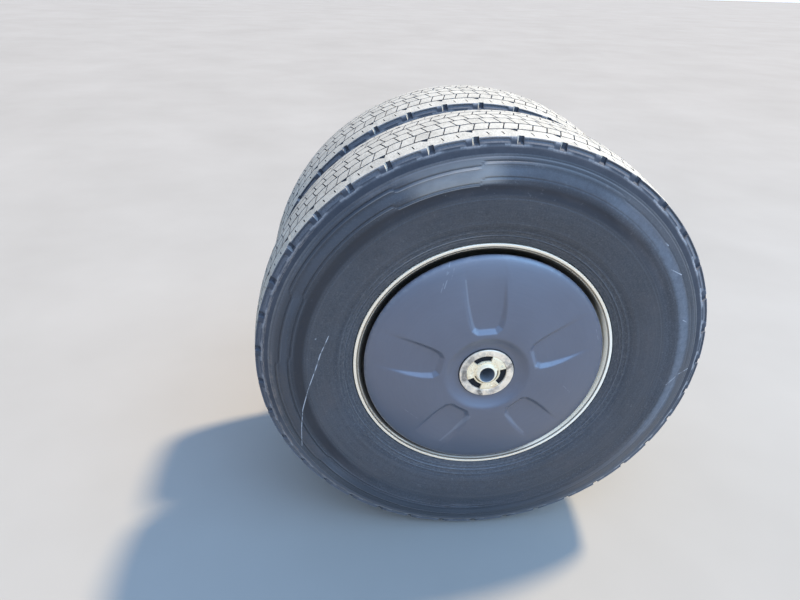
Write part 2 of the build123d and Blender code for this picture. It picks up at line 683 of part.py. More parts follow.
finish(chamber_bracket.part, "chamber_bracket")

with BuildPart() as brake_chamber:
    # service chamber, clamp band and spring chamber, turned about the push rod's line
    with BuildSketch(Plane.XZ.offset(-(WHEEL_PLANE + SLACK_S))):
        with BuildLine():
            # columns: x, distance from the push rod's line
            chamber_line = [
                (PLATE_X, 0.0), (PLATE_X, 62.0), (62.0, 70.0), (38.0, 76.0), (38.0, CHAMBER_R), (20.0, CHAMBER_R), (20.0, 76.0),
                (-6.0, 72.0), (-20.0, 64.0), (-34.0, 64.0), (-46.0, 74.0), (-46.0, CHAMBER_R), (-64.0, CHAMBER_R), (-64.0, 76.0),
                (-120.0, 74.0), (-150.0, 58.0), (-162.0, 30.0), (-166.0, 0.0),
            ]
            Polyline([(x, CLEVIS_Z + r) for x, r in chamber_line], close=True)
        make_face()
    revolve(axis=Axis((0, WHEEL_PLANE + SLACK_S, CLEVIS_Z), (1, 0, 0)))
    # mounting studs and nuts through the bracket plate; columns: x start, length, radius
    for start, length, radius in ((PLATE_X, 34.0, 7.9), (PLATE_X + 12.0, 12.0, 13.0)):
        with BuildSketch(Plane.YZ.offset(start)):
            with Locations((WHEEL_PLANE + SLACK_S - 45.0, CLEVIS_Z), (WHEEL_PLANE + SLACK_S + 45.0, CLEVIS_Z)):
                Circle(radius)
        extrude(amount=length)
finish(brake_chamber.part, "brake_chamber")

with BuildPart() as pushrod_clevis:
    with BuildSketch(Plane.YZ.offset(PLATE_X)):
        with Locations((WHEEL_PLANE + SLACK_S, CLEVIS_Z)):
            Circle(8.0)
    extrude(amount=60.0)
    # fork: base block and two cheeks
    with BuildSketch(Plane.YZ.offset(128.0)):
        with Locations((WHEEL_PLANE + SLACK_S, CLEVIS_Z)):
            Rectangle(50.0, 28.0)
    extrude(amount=14.0)
    for cheek_s in (SLACK_S - 15.0, SLACK_S + 25.0):
        with BuildSketch(face_at(cheek_s)):
            with BuildLine():
                Polyline([(128.0, CLEVIS_Z - 14.0), (CAM_X, CLEVIS_Z - 14.0), (CAM_X, CLEVIS_Z + 14.0), (128.0, CLEVIS_Z + 14.0)],
                         close=True)
            make_face()
            with Locations((CAM_X, CLEVIS_Z)):
                Circle(14.0)
        extrude(amount=10.0)
    # clevis pin
    with BuildSketch(face_at(SLACK_S + 32.0)):
        with Locations((CAM_X, CLEVIS_Z)):
            Circle(6.4)
    extrude(amount=64.0)
finish(pushrod_clevis.part, "pushrod_clevis")

# ---------------------------------------------------------------- suspension seat under the tube
SEAT_MID_S = 465.0
SEAT_PLATE_Z = -108.0
SEAT_HOLE_R = 11.0
SEAT_HOLE_X = 95.0
SEAT_HOLE_Y = 45.0
with BuildPart() as suspension_seat:
    with BuildSketch(face_at(SEAT_MID_S + 70.0)):
        with BuildLine():
            Polyline([
                (-120.0, SEAT_PLATE_Z), (120.0, SEAT_PLATE_Z), (120.0, SEAT_PLATE_Z + 20.0), (74.0, SEAT_PLATE_Z + 20.0),
                (68.0, -40.0), (-68.0, -40.0), (-74.0, SEAT_PLATE_Z + 20.0), (-120.0, SEAT_PLATE_Z + 20.0),
            ], close=True)
        make_face()
        Circle(TUBE_R + 0.02, mode=Mode.SUBTRACT)
    extrude(amount=140.0)
    with BuildSketch(Plane.XY.offset(SEAT_PLATE_Z)):
        with Locations((0.0, WHEEL_PLANE + SEAT_MID_S)):
            with GridLocations(2 * SEAT_HOLE_X, 2 * SEAT_HOLE_Y, 2, 2):
                Circle(SEAT_HOLE_R)
    extrude(amount=20.0, mode=Mode.SUBTRACT)
finish(suspension_seat.part, "suspension_seat")
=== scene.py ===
import json
import math

import bpy
import numpy as np
from mathutils import Matrix


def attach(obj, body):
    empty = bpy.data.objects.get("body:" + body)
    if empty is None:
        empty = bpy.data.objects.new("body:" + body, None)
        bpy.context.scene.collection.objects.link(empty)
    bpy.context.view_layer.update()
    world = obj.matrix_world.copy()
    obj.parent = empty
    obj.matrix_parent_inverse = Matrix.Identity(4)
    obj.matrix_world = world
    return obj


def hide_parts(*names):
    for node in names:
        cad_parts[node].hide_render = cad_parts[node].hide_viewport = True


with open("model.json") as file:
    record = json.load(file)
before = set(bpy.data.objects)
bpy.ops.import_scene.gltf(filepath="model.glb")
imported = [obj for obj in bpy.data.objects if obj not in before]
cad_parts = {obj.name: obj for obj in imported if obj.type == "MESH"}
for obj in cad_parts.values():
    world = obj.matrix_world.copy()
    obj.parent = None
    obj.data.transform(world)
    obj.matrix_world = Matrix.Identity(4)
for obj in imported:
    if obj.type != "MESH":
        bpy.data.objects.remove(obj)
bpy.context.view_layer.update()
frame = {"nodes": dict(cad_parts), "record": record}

NODES = frame["nodes"]
MM = 0.001

# Lengths in the tables are millimetres. theta runs from +X towards +Z.
# v is the distance from a tyre's centre plane; y is along the axle, negative outboard.
WHEEL_Y = -670.0
OUTER_Y = -837.5
INNER_Y = -502.5
FLOOR_Z = -527.7


# ------------------------------------------------------------------ small tools
def pchip(xs, ys):
    """Monotone cubic through the points, so that profiles bend smoothly without overshoot."""
    xs, ys = np.asarray(xs, float), np.asarray(ys, float)
    h = np.diff(xs)
    d = np.diff(ys) / h
    m = np.zeros_like(xs)
    for i in range(1, len(xs) - 1):
        if d[i - 1] * d[i] > 0:
            w1, w2 = 2 * h[i] + h[i - 1], h[i] + 2 * h[i - 1]
            m[i] = (w1 + w2) / (w1 / d[i - 1] + w2 / d[i])
    m[0], m[-1] = d[0], d[-1]

    def f(x):
        x = np.asarray(x, float)
        i = np.clip(np.searchsorted(xs, x) - 1, 0, len(xs) - 2)
        t = np.clip((x - xs[i]) / h[i], 0, 1)
        t2, t3 = t * t, t * t * t
        return ((2 * t3 - 3 * t2 + 1) * ys[i] + (t3 - 2 * t2 + t) * h[i] * m[i]
                + (3 * t2 - 2 * t3) * ys[i + 1] + (t3 - t2) * h[i] * m[i + 1])
    return f


def smooth(x, lo, hi):
    t = np.clip((np.asarray(x, float) - lo) / (hi - lo), 0, 1)
    return t * t * (3 - 2 * t)


def bump(x, centre, half):
    """1 at the centre, 0 from half away, rounded."""
    t = np.clip(1 - np.abs(np.asarray(x, float) - centre) / half, 0, 1)
    return t * t * (3 - 2 * t)


def volume(verts, quads):
    a, b, c, d = (verts[quads[:, k]] for k in range(4))
    return float((np.einsum("ij,ij->i", a, np.cross(b, c)) + np.einsum("ij,ij->i", a, np.cross(c, d))).sum() / 6)


class Shells:
    """Collects closed shells of quads and turns each so that its faces look outward."""

    def __init__(self):
        self.verts, self.quads, self.kinds, self.count = [], [], [], 0

    def add(self, verts, quads, kinds=None):
        verts = np.asarray(verts, float)
        quads = np.asarray(quads, np.int64)
        self.kinds.append(np.zeros(len(quads), np.int32) if kinds is None else np.asarray(kinds, np.int32).ravel())
        if volume(verts, quads) < 0:
            quads = quads[:, ::-1]
        self.verts.append(verts)
        self.quads.append(quads + self.count)
        self.count += len(verts)

    def ring(self, r, y, theta, kinds=None):
        """Closed section (rows) carried round the axis (columns); r, y, theta in mm and radians."""
        r, y, theta = np.broadcast_arrays(r, y, theta)
        n, m = r.shape
        verts = np.stack([r * np.cos(theta), y, r * np.sin(theta)], -1).reshape(-1, 3) * MM
        i, j = np.meshgrid(np.arange(n), np.arange(m), indexing="ij")
        i2, j2 = (i + 1) % n, (j + 1) % m
        quads = np.stack([i * m + j, i2 * m + j, i2 * m + j2, i * m + j2], -1).reshape(-1, 4)
        self.add(verts, quads, kinds)

    def piece(self, name, materials, body, replaced=(), sharp=40.0, values=None):
        verts = np.concatenate(self.verts)
        quads = np.concatenate(self.quads)
        mesh = bpy.data.meshes.new(name)
        mesh.vertices.add(len(verts))
        mesh.vertices.foreach_set("co", verts.astype(np.float32).ravel())
        mesh.loops.add(len(quads) * 4)
        mesh.loops.foreach_set("vertex_index", quads.astype(np.int32).ravel())
        mesh.polygons.add(len(quads))
        mesh.polygons.foreach_set("loop_start", np.arange(0, len(quads) * 4, 4, dtype=np.int32))
        mesh.polygons.foreach_set("use_smooth", np.ones(len(quads), bool))
        for material in (materials if isinstance(materials, (list, tuple)) else [materials]):
            mesh.materials.append(material)
        mesh.polygons.foreach_set("material_index", np.concatenate(self.kinds))
        for key, value in (values or {}).items():
            mesh.attributes.new(key, "FLOAT", "POINT").data.foreach_set("value", np.asarray(value, np.float32).ravel())
        mesh.update(calc_edges=True)
        mesh.set_sharp_from_angle(angle=math.radians(sharp))
        obj = bpy.data.objects.new(name, mesh)
        bpy.context.scene.collection.objects.link(obj)
        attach(obj, body)
        if replaced:
            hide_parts(*replaced)
        return obj


# ------------------------------------------------------------------ material tools
class Mat:
    def __init__(self, name, **fixed):
        self.m = bpy.data.materials.new(name)
        self.m.use_nodes = True
        self.nt = self.m.node_tree
        self.nt.nodes.clear()
        out = self.nt.nodes.new("ShaderNodeOutputMaterial")
        self.bsdf = self.nt.nodes.new("ShaderNodeBsdfPrincipled")
        self.nt.links.new(self.bsdf.outputs[0], out.inputs[0])
        for key, value in fixed.items():
            self.bsdf.inputs[key.replace("_", " ")].default_value = value
        self.cache = {}

    def put(self, socket, value):
        if isinstance(value, bpy.types.NodeSocket):
            self.nt.links.new(value, socket)
        elif isinstance(value, (tuple, list)) and len(value) == 3 and socket.type == "RGBA":
            socket.default_value = (*value, 1.0)
        else:
            socket.default_value = value

    def node(self, kind, inputs=(), out=0, **props):
        n = self.nt.nodes.new(kind)
        for key, value in props.items():
            setattr(n, key, value)
        for key, value in (inputs.items() if isinstance(inputs, dict) else enumerate(inputs)):
            if value is not None:
                self.put(n.inputs[key], value)
        return n.outputs[out]

    def math(self, op, a, b=None, c=None, clamp=False):
        return self.node("ShaderNodeMath", (a, b, c), operation=op, use_clamp=clamp)

    def vec(self, op, a, b=None, scale=None, out=0):
        ins = {0: a}
        if b is not None:
            ins[1] = b
        if scale is not None:
            ins["Scale"] = scale
        return self.node("ShaderNodeVectorMath", ins, out=out, operation=op)

    def xyz(self, x, y, z):
        return self.node("ShaderNodeCombineXYZ", (x, y, z))

    def obj(self):
        if "obj" not in self.cache:
            self.cache["obj"] = self.node("ShaderNodeTexCoord", out="Object")
        return self.cache["obj"]

    def axes(self):
        if "axes" not in self.cache:
            n = self.nt.nodes.new("ShaderNodeSeparateXYZ")
            self.put(n.inputs[0], self.obj())
            self.cache["axes"] = tuple(n.outputs)
        return self.cache["axes"]

    def polar(self):
        """r, cos theta, sin theta, y about the wheel's axis."""
        if "polar" not in self.cache:
            x, y, z = self.axes()
            r = self.vec("LENGTH", self.xyz(x, 0.0, z), out="Value")
            self.cache["polar"] = (r, self.math("DIVIDE", x, r), self.math("DIVIDE", z, r), y)
        return self.cache["polar"]

    def outward(self):
        """How far the surface faces away from the axis, -1 to 1, in the piece's own frame."""
        if "outward" not in self.cache:
            r, c, s, y = self.polar()
            n = self.node("ShaderNodeTexCoord", out="Normal")
            self.cache["outward"] = self.vec("DOT_PRODUCT", n, self.xyz(c, 0.0, s), out="Value")
        return self.cache["outward"]

    def upward(self):
        if "upward" not in self.cache:
            n = self.nt.nodes.new("ShaderNodeSeparateXYZ")
            self.put(n.inputs[0], self.node("ShaderNodeTexCoord", out="Normal"))
            self.cache["upward"] = n.outputs[2]
        return self.cache["upward"]

    def value(self, name):
        """A number stored with the mesh's points."""
        return self.node("ShaderNodeAttribute", out="Fac", attribute_name=name)

    def around(self, k, radial, axial=0.0):
        """Coordinate that changes k times faster round the wheel than a unit circle, radial per metre across."""
        r, c, s, y = self.polar()
        return self.xyz(self.math("MULTIPLY", c, k), self.math("MULTIPLY", s, k),
                        self.math("MULTIPLY_ADD", y, axial, self.math("MULTIPLY", r, radial)))

    def noise(self, coord, scale=1.0, detail=4.0, rough=0.55, distort=0.0):
        return self.node("ShaderNodeTexNoise", {"Vector": coord, "Scale": scale, "Detail": detail,
                                                "Roughness": rough, "Distortion": distort}, out="Fac")

    def step(self, x, lo, hi, a=0.0, b=1.0, kind="SMOOTHSTEP"):
        return self.node("ShaderNodeMapRange", {"Value": x, "From Min": lo, "From Max": hi, "To Min": a, "To Max": b},
                         interpolation_type=kind, clamp=True)

    def band(self, x, lo, hi, soft):
        """1 between lo and hi, with soft ends."""
        return self.math("MULTIPLY", self.step(x, lo - soft, lo + soft), self.step(x, hi - soft, hi + soft, 1.0, 0.0))

    def mix(self, fac, a, b, kind="MIX"):
        n = self.nt.nodes.new("ShaderNodeMix")
        n.data_type = "RGBA"
        n.blend_type = kind
        self.put(n.inputs[0], fac)
        self.put(n.inputs[6], a)
        self.put(n.inputs[7], b)
        return n.outputs[2]

    def mixf(self, fac, a, b):
        n = self.nt.nodes.new("ShaderNodeMix")
        n.data_type = "FLOAT"
        self.put(n.inputs[0], fac)
        self.put(n.inputs[2], a)
        self.put(n.inputs[3], b)
        return n.outputs[0]

    def ramp(self, fac, *stops):
        n = self.nt.nodes.new("ShaderNodeValToRGB")
        self.put(n.inputs[0], fac)
        e = n.color_ramp.elements
        while len(e) < len(stops):
            e.new(0.5)
        for k, (at, colour) in enumerate(stops):
            e[k].position = at
            e[k].color = (*colour, 1.0)
        return n.outputs[0]

    def segment(self, a, b):
        """Distance in the wheel plane from the line a-b, points in mm (x, z)."""
        x, y, z = self.axes()
        a, b = [np.array([p[0], 0.0, p[1]]) * MM for p in (a, b)]
        d = b - a
        p = self.vec("SUBTRACT", self.xyz(x, 0.0, z), tuple(a))
        h = self.math("DIVIDE", self.vec("DOT_PRODUCT", p, tuple(d), out="Value"), float(d @ d), clamp=True)
        return self.vec("LENGTH", self.vec("SUBTRACT", p, self.vec("SCALE", tuple(d), scale=h)), out="Value")

    def scratch(self, a, b, half):
        """1 on the line a-b, fading at half mm away."""
        return self.step(self.segment(a, b), half * 0.35 * MM, half * MM, 1.0, 0.0)

    def either(self, *masks):
        out = masks[0]
        for m in masks[1:]:
            out = self.math("MAXIMUM", out, m)
        return out

    def finish(self, colour=None, rough=None, height=None, strength=0.3, distance=0.001, metal=None):
        if colour is not None:
            self.put(self.bsdf.inputs["Base Color"], colour)
        if rough is not None:
            self.put(self.bsdf.inputs["Roughness"], rough)
        if metal is not None:
            self.put(self.bsdf.inputs["Metallic"], metal)
        if height is not None:
            n = self.nt.nodes.new("ShaderNodeBump")
            n.inputs["Strength"].default_value = strength
            n.inputs["Distance"].default_value = distance
            self.put(n.inputs["Height"], height)
            self.put(self.bsdf.inputs["Normal"], n.outputs[0])
        return self.m


# ------------------------------------------------------------------ rubber
TRACK = [(-350.0, 89.0), (-369.5, 43.0), (-380.0, 8.5), (-400.0, -50.5), (-414.5, -106.0), (-420.0, -158.0), (-423.0, -225.0)]


def sidewall_rubber(name, marked):
    """Worn sidewall: dusty dark grey, bands of dust and of painted sheen, light and shade, brown rub at the shoulder.
    The mesh stores line, which is below 0 in the moulded grooves and above 0 on the ridges."""
    m = Mat(name, Specular_IOR_Level=0.55, Sheen_Weight=0.06, Sheen_Roughness=0.5)
    r, c, s, y = m.polar()
    broad = m.noise(m.around(1.6, 6.0, 3.0), 1.0, 5.0, 0.6)
    cloud = m.noise(m.obj(), 9.0, 6.0, 0.62)
    fine = m.noise(m.obj(), 190.0, 5.0, 0.7)
    speck = m.noise(m.obj(), 75.0, 6.0, 0.72)
    rings = m.noise(m.around(0.9, 240.0), 1.0, 4.0, 0.65)
    hair = m.noise(m.around(2.5, 1100.0), 1.0, 3.0, 0.6)
    colour = m.ramp(m.mixf(0.5, broad, cloud), (0.30, (0.021, 0.027, 0.035)), (0.50, (0.030, 0.037, 0.047)),
                    (0.72, (0.046, 0.054, 0.066)))
    grain = m.noise(m.obj(), 300.0, 3.0, 0.65)
    colour = m.mix(m.step(grain, 0.50, 0.70, 0.0, 0.60), colour, (0.088, 0.094, 0.104))
    colour = m.mix(m.step(grain, 0.48, 0.30, 0.0, 0.60), colour, (0.006, 0.008, 0.012))
    colour = m.mix(m.step(rings, 0.42, 0.75, 0.0, 0.34), colour, (0.085, 0.089, 0.098))
    colour = m.mix(m.step(hair, 0.50, 0.78, 0.0, 0.22), colour, (0.105, 0.107, 0.113))
    # lighter raised band, partly dust and partly painted sky sheen; painted shade in the hollow under it; greyer field
    # below
    colour = m.mix(m.math("MULTIPLY", m.band(r, 0.445, 0.461, 0.004), m.step(cloud, 0.3, 0.7, 0.24, 0.50)),
                   colour, (0.105, 0.125, 0.152))
    # painted sheen on the sunward side of that band, mottled with dust specks
    sunward_sheen = m.math("MULTIPLY", m.step(c, -0.10, 0.25), m.step(s, -0.75, -0.35))
    colour = m.mix(m.math("MULTIPLY", m.math("MULTIPLY", m.band(r, 0.440, 0.464, 0.006), sunward_sheen), m.step(speck, 0.3, 0.7, 0.30, 0.75)),
                   colour, (0.150, 0.172, 0.200))
    # painted shade in the hollow under the band, strongest across the top and left half
    upper = m.step(m.math("SUBTRACT", s, c), -0.35, 0.30)
    colour = m.mix(m.math("MULTIPLY", m.band(r, 0.409, 0.430, 0.004), m.mixf(upper, 0.0, 0.96)), colour, (0.008, 0.011, 0.018))
    # painted shadow across the top right of the wall
    high = m.math("MULTIPLY", m.band(c, 0.06, 0.50, 0.10), m.step(s, 0.5, 0.8))
    colour = m.mix(m.math("MULTIPLY", m.math("MULTIPLY", m.band(r, 0.405, 0.500, 0.006), high), 0.58), colour, (0.012, 0.017, 0.026))
    # painted shade on the top left of the field under the hollow
    back = m.math("MULTIPLY", m.band(c, -0.80, 0.10, 0.12), m.step(s, 0.2, 0.5))
    colour = m.mix(m.math("MULTIPLY", m.math("MULTIPLY", m.band(r, 0.374, 0.407, 0.008), back), 0.34), colour, (0.012, 0.015, 0.021))
    # painted sunlight: a pale warm patch at the top of the wall
    top = m.math("MULTIPLY", m.band(c, -0.40, -0.02, 0.06), m.step(s, 0.3, 0.6))
    colour = m.mix(m.math("MULTIPLY", m.math("MULTIPLY", m.band(r, 0.433, 0.482, 0.004), top), m.step(cloud, 0.3, 0.7, 0.50, 0.88)),
                   colour, (0.255, 0.246, 0.228))
    colour = m.mix(m.math("MULTIPLY", m.band(r, 0.340, 0.406, 0.004), m.step(speck, 0.35, 0.7, 0.20, 0.50)), colour, (0.062, 0.062, 0.064))
    colour = m.mix(m.math("MULTIPLY", m.band(r, 0.466, 0.486, 0.004), m.step(cloud, 0.3, 0.7, 0.20, 0.50)), colour, (0.076, 0.079, 0.082))
    colour = m.mix(m.math("MULTIPLY", m.band(r, 0.484, 0.499, 0.002), 0.25), colour, (0.034, 0.040, 0.050))
    powder = m.math("MAXIMUM", m.math("MULTIPLY", m.step(c, 0.50, 0.75), m.step(s, -0.80, -0.50)), m.math("MULTIPLY", m.step(c, -0.55, -0.85), m.step(s, 0.75, 0.45)))
    colour = m.mix(m.math("MULTIPLY", m.math("MULTIPLY", m.band(r, 0.484, 0.499, 0.003), powder), m.step(speck, 0.35, 0.65, 0.38, 0.92)), colour, (0.132, 0.131, 0.128))
    # darker near the bottom of the wall; painted shade on the top left just under the shoulder
    foot = m.math("MULTIPLY", m.band(r, 0.438, 0.500, 0.004), m.step(s, -0.62, -0.85))
    colour = m.mix(m.math("MULTIPLY", foot, 0.42), colour, (0.012, 0.017, 0.026))
    shoulder_shade = m.math("MULTIPLY", m.band(r, 0.463, 0.484, 0.004), m.math("MULTIPLY", m.band(c, -0.80, -0.42, 0.06), m.step(s, 0.3, 0.5)))
    colour = m.mix(m.math("MULTIPLY", shoulder_shade, 0.40), colour, (0.012, 0.016, 0.024))
    # warm brown dust low on the wall and along the shoulder
    warm = m.noise(m.around(2.3, 14.0), 1.0, 4.0, 0.6)
    colour = m.mix(m.math("MULTIPLY", m.step(warm, 0.48, 0.72), 0.40), colour, (0.072, 0.066, 0.068))
    if marked:
        patch = m.math("MULTIPLY", m.band(r, 0.475, 0.487, 0.003), m.math("MULTIPLY", m.band(c, -0.58, 0.02, 0.06), m.step(s, 0.0, 0.3)))
        colour = m.mix(m.math("MULTIPLY", patch, m.step(speck, 0.3, 0.7, 0.15, 0.60)), colour, (0.118, 0.110, 0.108))
        patch = m.math("MULTIPLY", m.band(r, 0.445, 0.469, 0.003), m.math("MULTIPLY", m.step(c, -0.79, -0.86), m.step(s, 0.05, -0.05)))
        colour = m.mix(m.math("MULTIPLY", patch, m.step(speck, 0.3, 0.7, 0.10, 0.60)), colour, (0.115, 0.098, 0.090))
        patch = m.math("MULTIPLY", m.band(r, 0.477, 0.497, 0.003), m.math("MULTIPLY", m.step(c, -0.88, -0.95), m.step(s, 0.12, 0.02)))
        colour = m.mix(m.math("MULTIPLY", patch, m.step(m.noise(m.obj(), 30.0, 5.0, 0.7), 0.45, 0.62, 0.0, 0.7)), colour, (0.150, 0.125, 0.110))
    # dust scattered in specks
    colour = m.mix(m.math("MULTIPLY", m.step(speck, 0.60, 0.74), 0.38), colour, (0.150, 0.152, 0.158))
    line = m.value("line")
    # painted shade in the moulded grooves
    colour = m.mix(m.math("MULTIPLY", m.step(line, 0.0, -1.0), 0.66), colour, (0.012, 0.014, 0.019))
    colour = m.mix(m.math("MULTIPLY", m.step(line, 0.0, 1.0), m.step(cloud, 0.25, 0.7, 0.22, 0.55)), colour, (0.165, 0.172, 0.188))
    # painted sunlight on the raised ridges near the top of the wall
    crest_sunlight = m.math("MULTIPLY", m.step(line, 0.2, 0.9), m.math("MULTIPLY", m.band(c, -0.62, -0.04, 0.06), m.step(s, 0.3, 0.6)))
    colour = m.mix(m.math("MULTIPLY", crest_sunlight, 0.6), colour, (0.30, 0.285, 0.26))
    # painted shade on the left of the wall
    left_shade = m.math("MULTIPLY", m.band(r, 0.407, 0.474, 0.006), m.step(c, -0.30, -0.62))
    colour = m.mix(m.math("MULTIPLY", left_shade, m.step(s, -0.70, -0.30, 0.0, 0.50)), colour, (0.012, 0.015, 0.020))
    # fine dust in the small rings by the rim
    dust = m.math("MULTIPLY", m.band(r, 0.299, 0.334, 0.004), m.step(m.noise(m.around(40.0, 520.0), 1.0, 3.0, 0.6), 0.45, 0.7))
    colour = m.mix(m.math("MULTIPLY", dust, 0.40), colour, (0.150, 0.147, 0.140))
    rough = m.step(cloud, 0.25, 0.8, 0.42, 0.62)
    height = m.math("MULTIPLY_ADD", fine, 0.5, m.math("MULTIPLY", rings, 0.5))
    if marked:
        wobble = m.step(m.noise(m.obj(), 60.0, 3.0, 0.6), 0.38, 0.54)
        lines = m.either(
            m.scratch(*TRACK[0:2], 1.3), m.scratch(*TRACK[1:3], 1.6), m.scratch(*TRACK[2:4], 1.4), m.scratch(*TRACK[3:5], 1.5),
            m.scratch(*TRACK[4:6], 1.3), m.scratch(*TRACK[5:7], 1.1),
            m.scratch((375.3, 246.5), (404.4, 231.6), 1.3), m.scratch((433.2, 121.8), (444.2, 115.7), 1.2),
            m.scratch((491.8, -14.6), (461.2, -26.6), 1.4), m.scratch((454.9, -31.8), (435.7, -53.5), 1.2),
            m.scratch((352, 305), (359, 299), 1.6), m.scratch((-378, 84), (-377, 85), 2.4))
        lines = m.math("MULTIPLY", lines, m.step(y, -0.90, -0.92))
        colour = m.mix(m.math("MULTIPLY", lines, m.math("MULTIPLY_ADD", wobble, 0.62, 0.20)), colour, (0.42, 0.43, 0.44))
    return m.finish(colour, rough, height, 0.35, 0.0008)


def tread_top(name, shaded_copy=False):
    """Block tops: rubber worn smooth and pale by the road, with drag marks and ragged shoulder edges. shaded_copy makes
    a darker copy of them, used as painted shade.
    """
    m = Mat(name, Specular_IOR_Level=0.3)
    fine = m.noise(m.obj(), 300.0, 5.0, 0.7)
    cloud = m.noise(m.obj(), 24.0, 5.0, 0.6)
    drag = m.noise(m.around(18.0, 0.0, 480.0), 1.0, 4.0, 0.65)
    # a darker copy of the same tops, as painted shade
    if shaded_copy:
        tops = m.ramp(m.mixf(0.5, cloud, fine), (0.26, (0.11, 0.11, 0.11)), (0.48, (0.18, 0.18, 0.18)), (0.72, (0.26, 0.258, 0.25)))
        return m.finish(tops, m.step(fine, 0.2, 0.8, 0.62, 0.88), m.mixf(0.5, fine, cloud), 0.30, 0.0008)
    tops = m.ramp(m.mixf(0.7, cloud, fine), (0.34, (0.23, 0.210, 0.165)), (0.50, (0.415, 0.382, 0.310)), (0.64, (0.54, 0.502, 0.415)))
    tops = m.mix(m.step(drag, 0.52, 0.76, 0.0, 0.40), tops, (0.27, 0.262, 0.25))
    pit = m.step(m.noise(m.obj(), 620.0, 2.0, 0.6), 0.64, 0.72)
    tops = m.mix(m.math("MULTIPLY", pit, 0.55), tops, (0.12, 0.12, 0.12))
    return m.finish(tops, m.step(fine, 0.2, 0.8, 0.62, 0.88), m.mixf(0.5, fine, cloud), 0.30, 0.0008)


def tread_side(name):
    """Block walls, groove floors and the shoulder's flank: dark, with pale dust on what faces outward; near the top of
    the wheel the dust values also hold painted sunlight.
    """
    m = Mat(name, Specular_IOR_Level=0.32)
    r, c, s, y = m.polar()
    fine = m.noise(m.obj(), 260.0, 5.0, 0.7)
    cloud = m.noise(m.obj(), 26.0, 5.0, 0.6)
    deep = m.ramp(m.mixf(0.5, cloud, fine), (0.3, (0.020, 0.022, 0.027)), (0.52, (0.034, 0.037, 0.044)), (0.75, (0.060, 0.063, 0.070)))
    flank = m.ramp(m.mixf(0.5, cloud, fine), (0.3, (0.036, 0.040, 0.050)), (0.52, (0.056, 0.062, 0.075)), (0.75, (0.086, 0.092, 0.106)))
    dust = m.value("dust")
    colour = m.mix(m.step(dust, 0.0, 0.12, kind="LINEAR"), deep, flank)
    low = m.step(r, 0.4990, 0.4960)
    colour = m.mix(low, colour, m.ramp(cloud, (0.3, (0.036, 0.040, 0.049)), (0.7, (0.058, 0.062, 0.072))))
    side = m.step(c, 0.45, 0.85, 0.70, 1.25)
    colour = m.mix(m.math("MULTIPLY", m.step(s, 0.30, 0.75), m.step(dust, 0.05, 0.12, 0.0, 0.45)), colour, (0.020, 0.025, 0.033))
    colour = m.mix(m.math("MULTIPLY", m.step(s, -0.10, -0.60), m.step(dust, 0.05, 0.12, 0.0, 0.55)), colour, (0.130, 0.142, 0.158))
    powder = m.math("MULTIPLY", m.step(dust, 0.14, 1.0, kind="LINEAR"), m.math("MULTIPLY", m.step(fine, 0.30, 0.62, 0.45, 1.0), side))
    colour = m.mix(powder, colour, (0.36, 0.355, 0.35))
    rub = m.math("MULTIPLY", m.band(r, 0.4955, 0.5018, 0.0012), m.step(m.noise(m.around(34.0, 800.0), 1.0, 4.0, 0.7), 0.44, 0.60))
    left = m.step(m.math("MULTIPLY_ADD", c, -0.82, m.math("MULTIPLY", s, -0.57)), 0.12, 0.40)
    colour = m.mix(m.math("MULTIPLY", rub, m.math("MULTIPLY_ADD", left, 0.76, 0.06)), colour, (0.22, 0.190, 0.165))
    return m.finish(colour, m.step(fine, 0.2, 0.8, 0.60, 0.86), m.mixf(0.5, fine, cloud), 0.30, 0.0008)


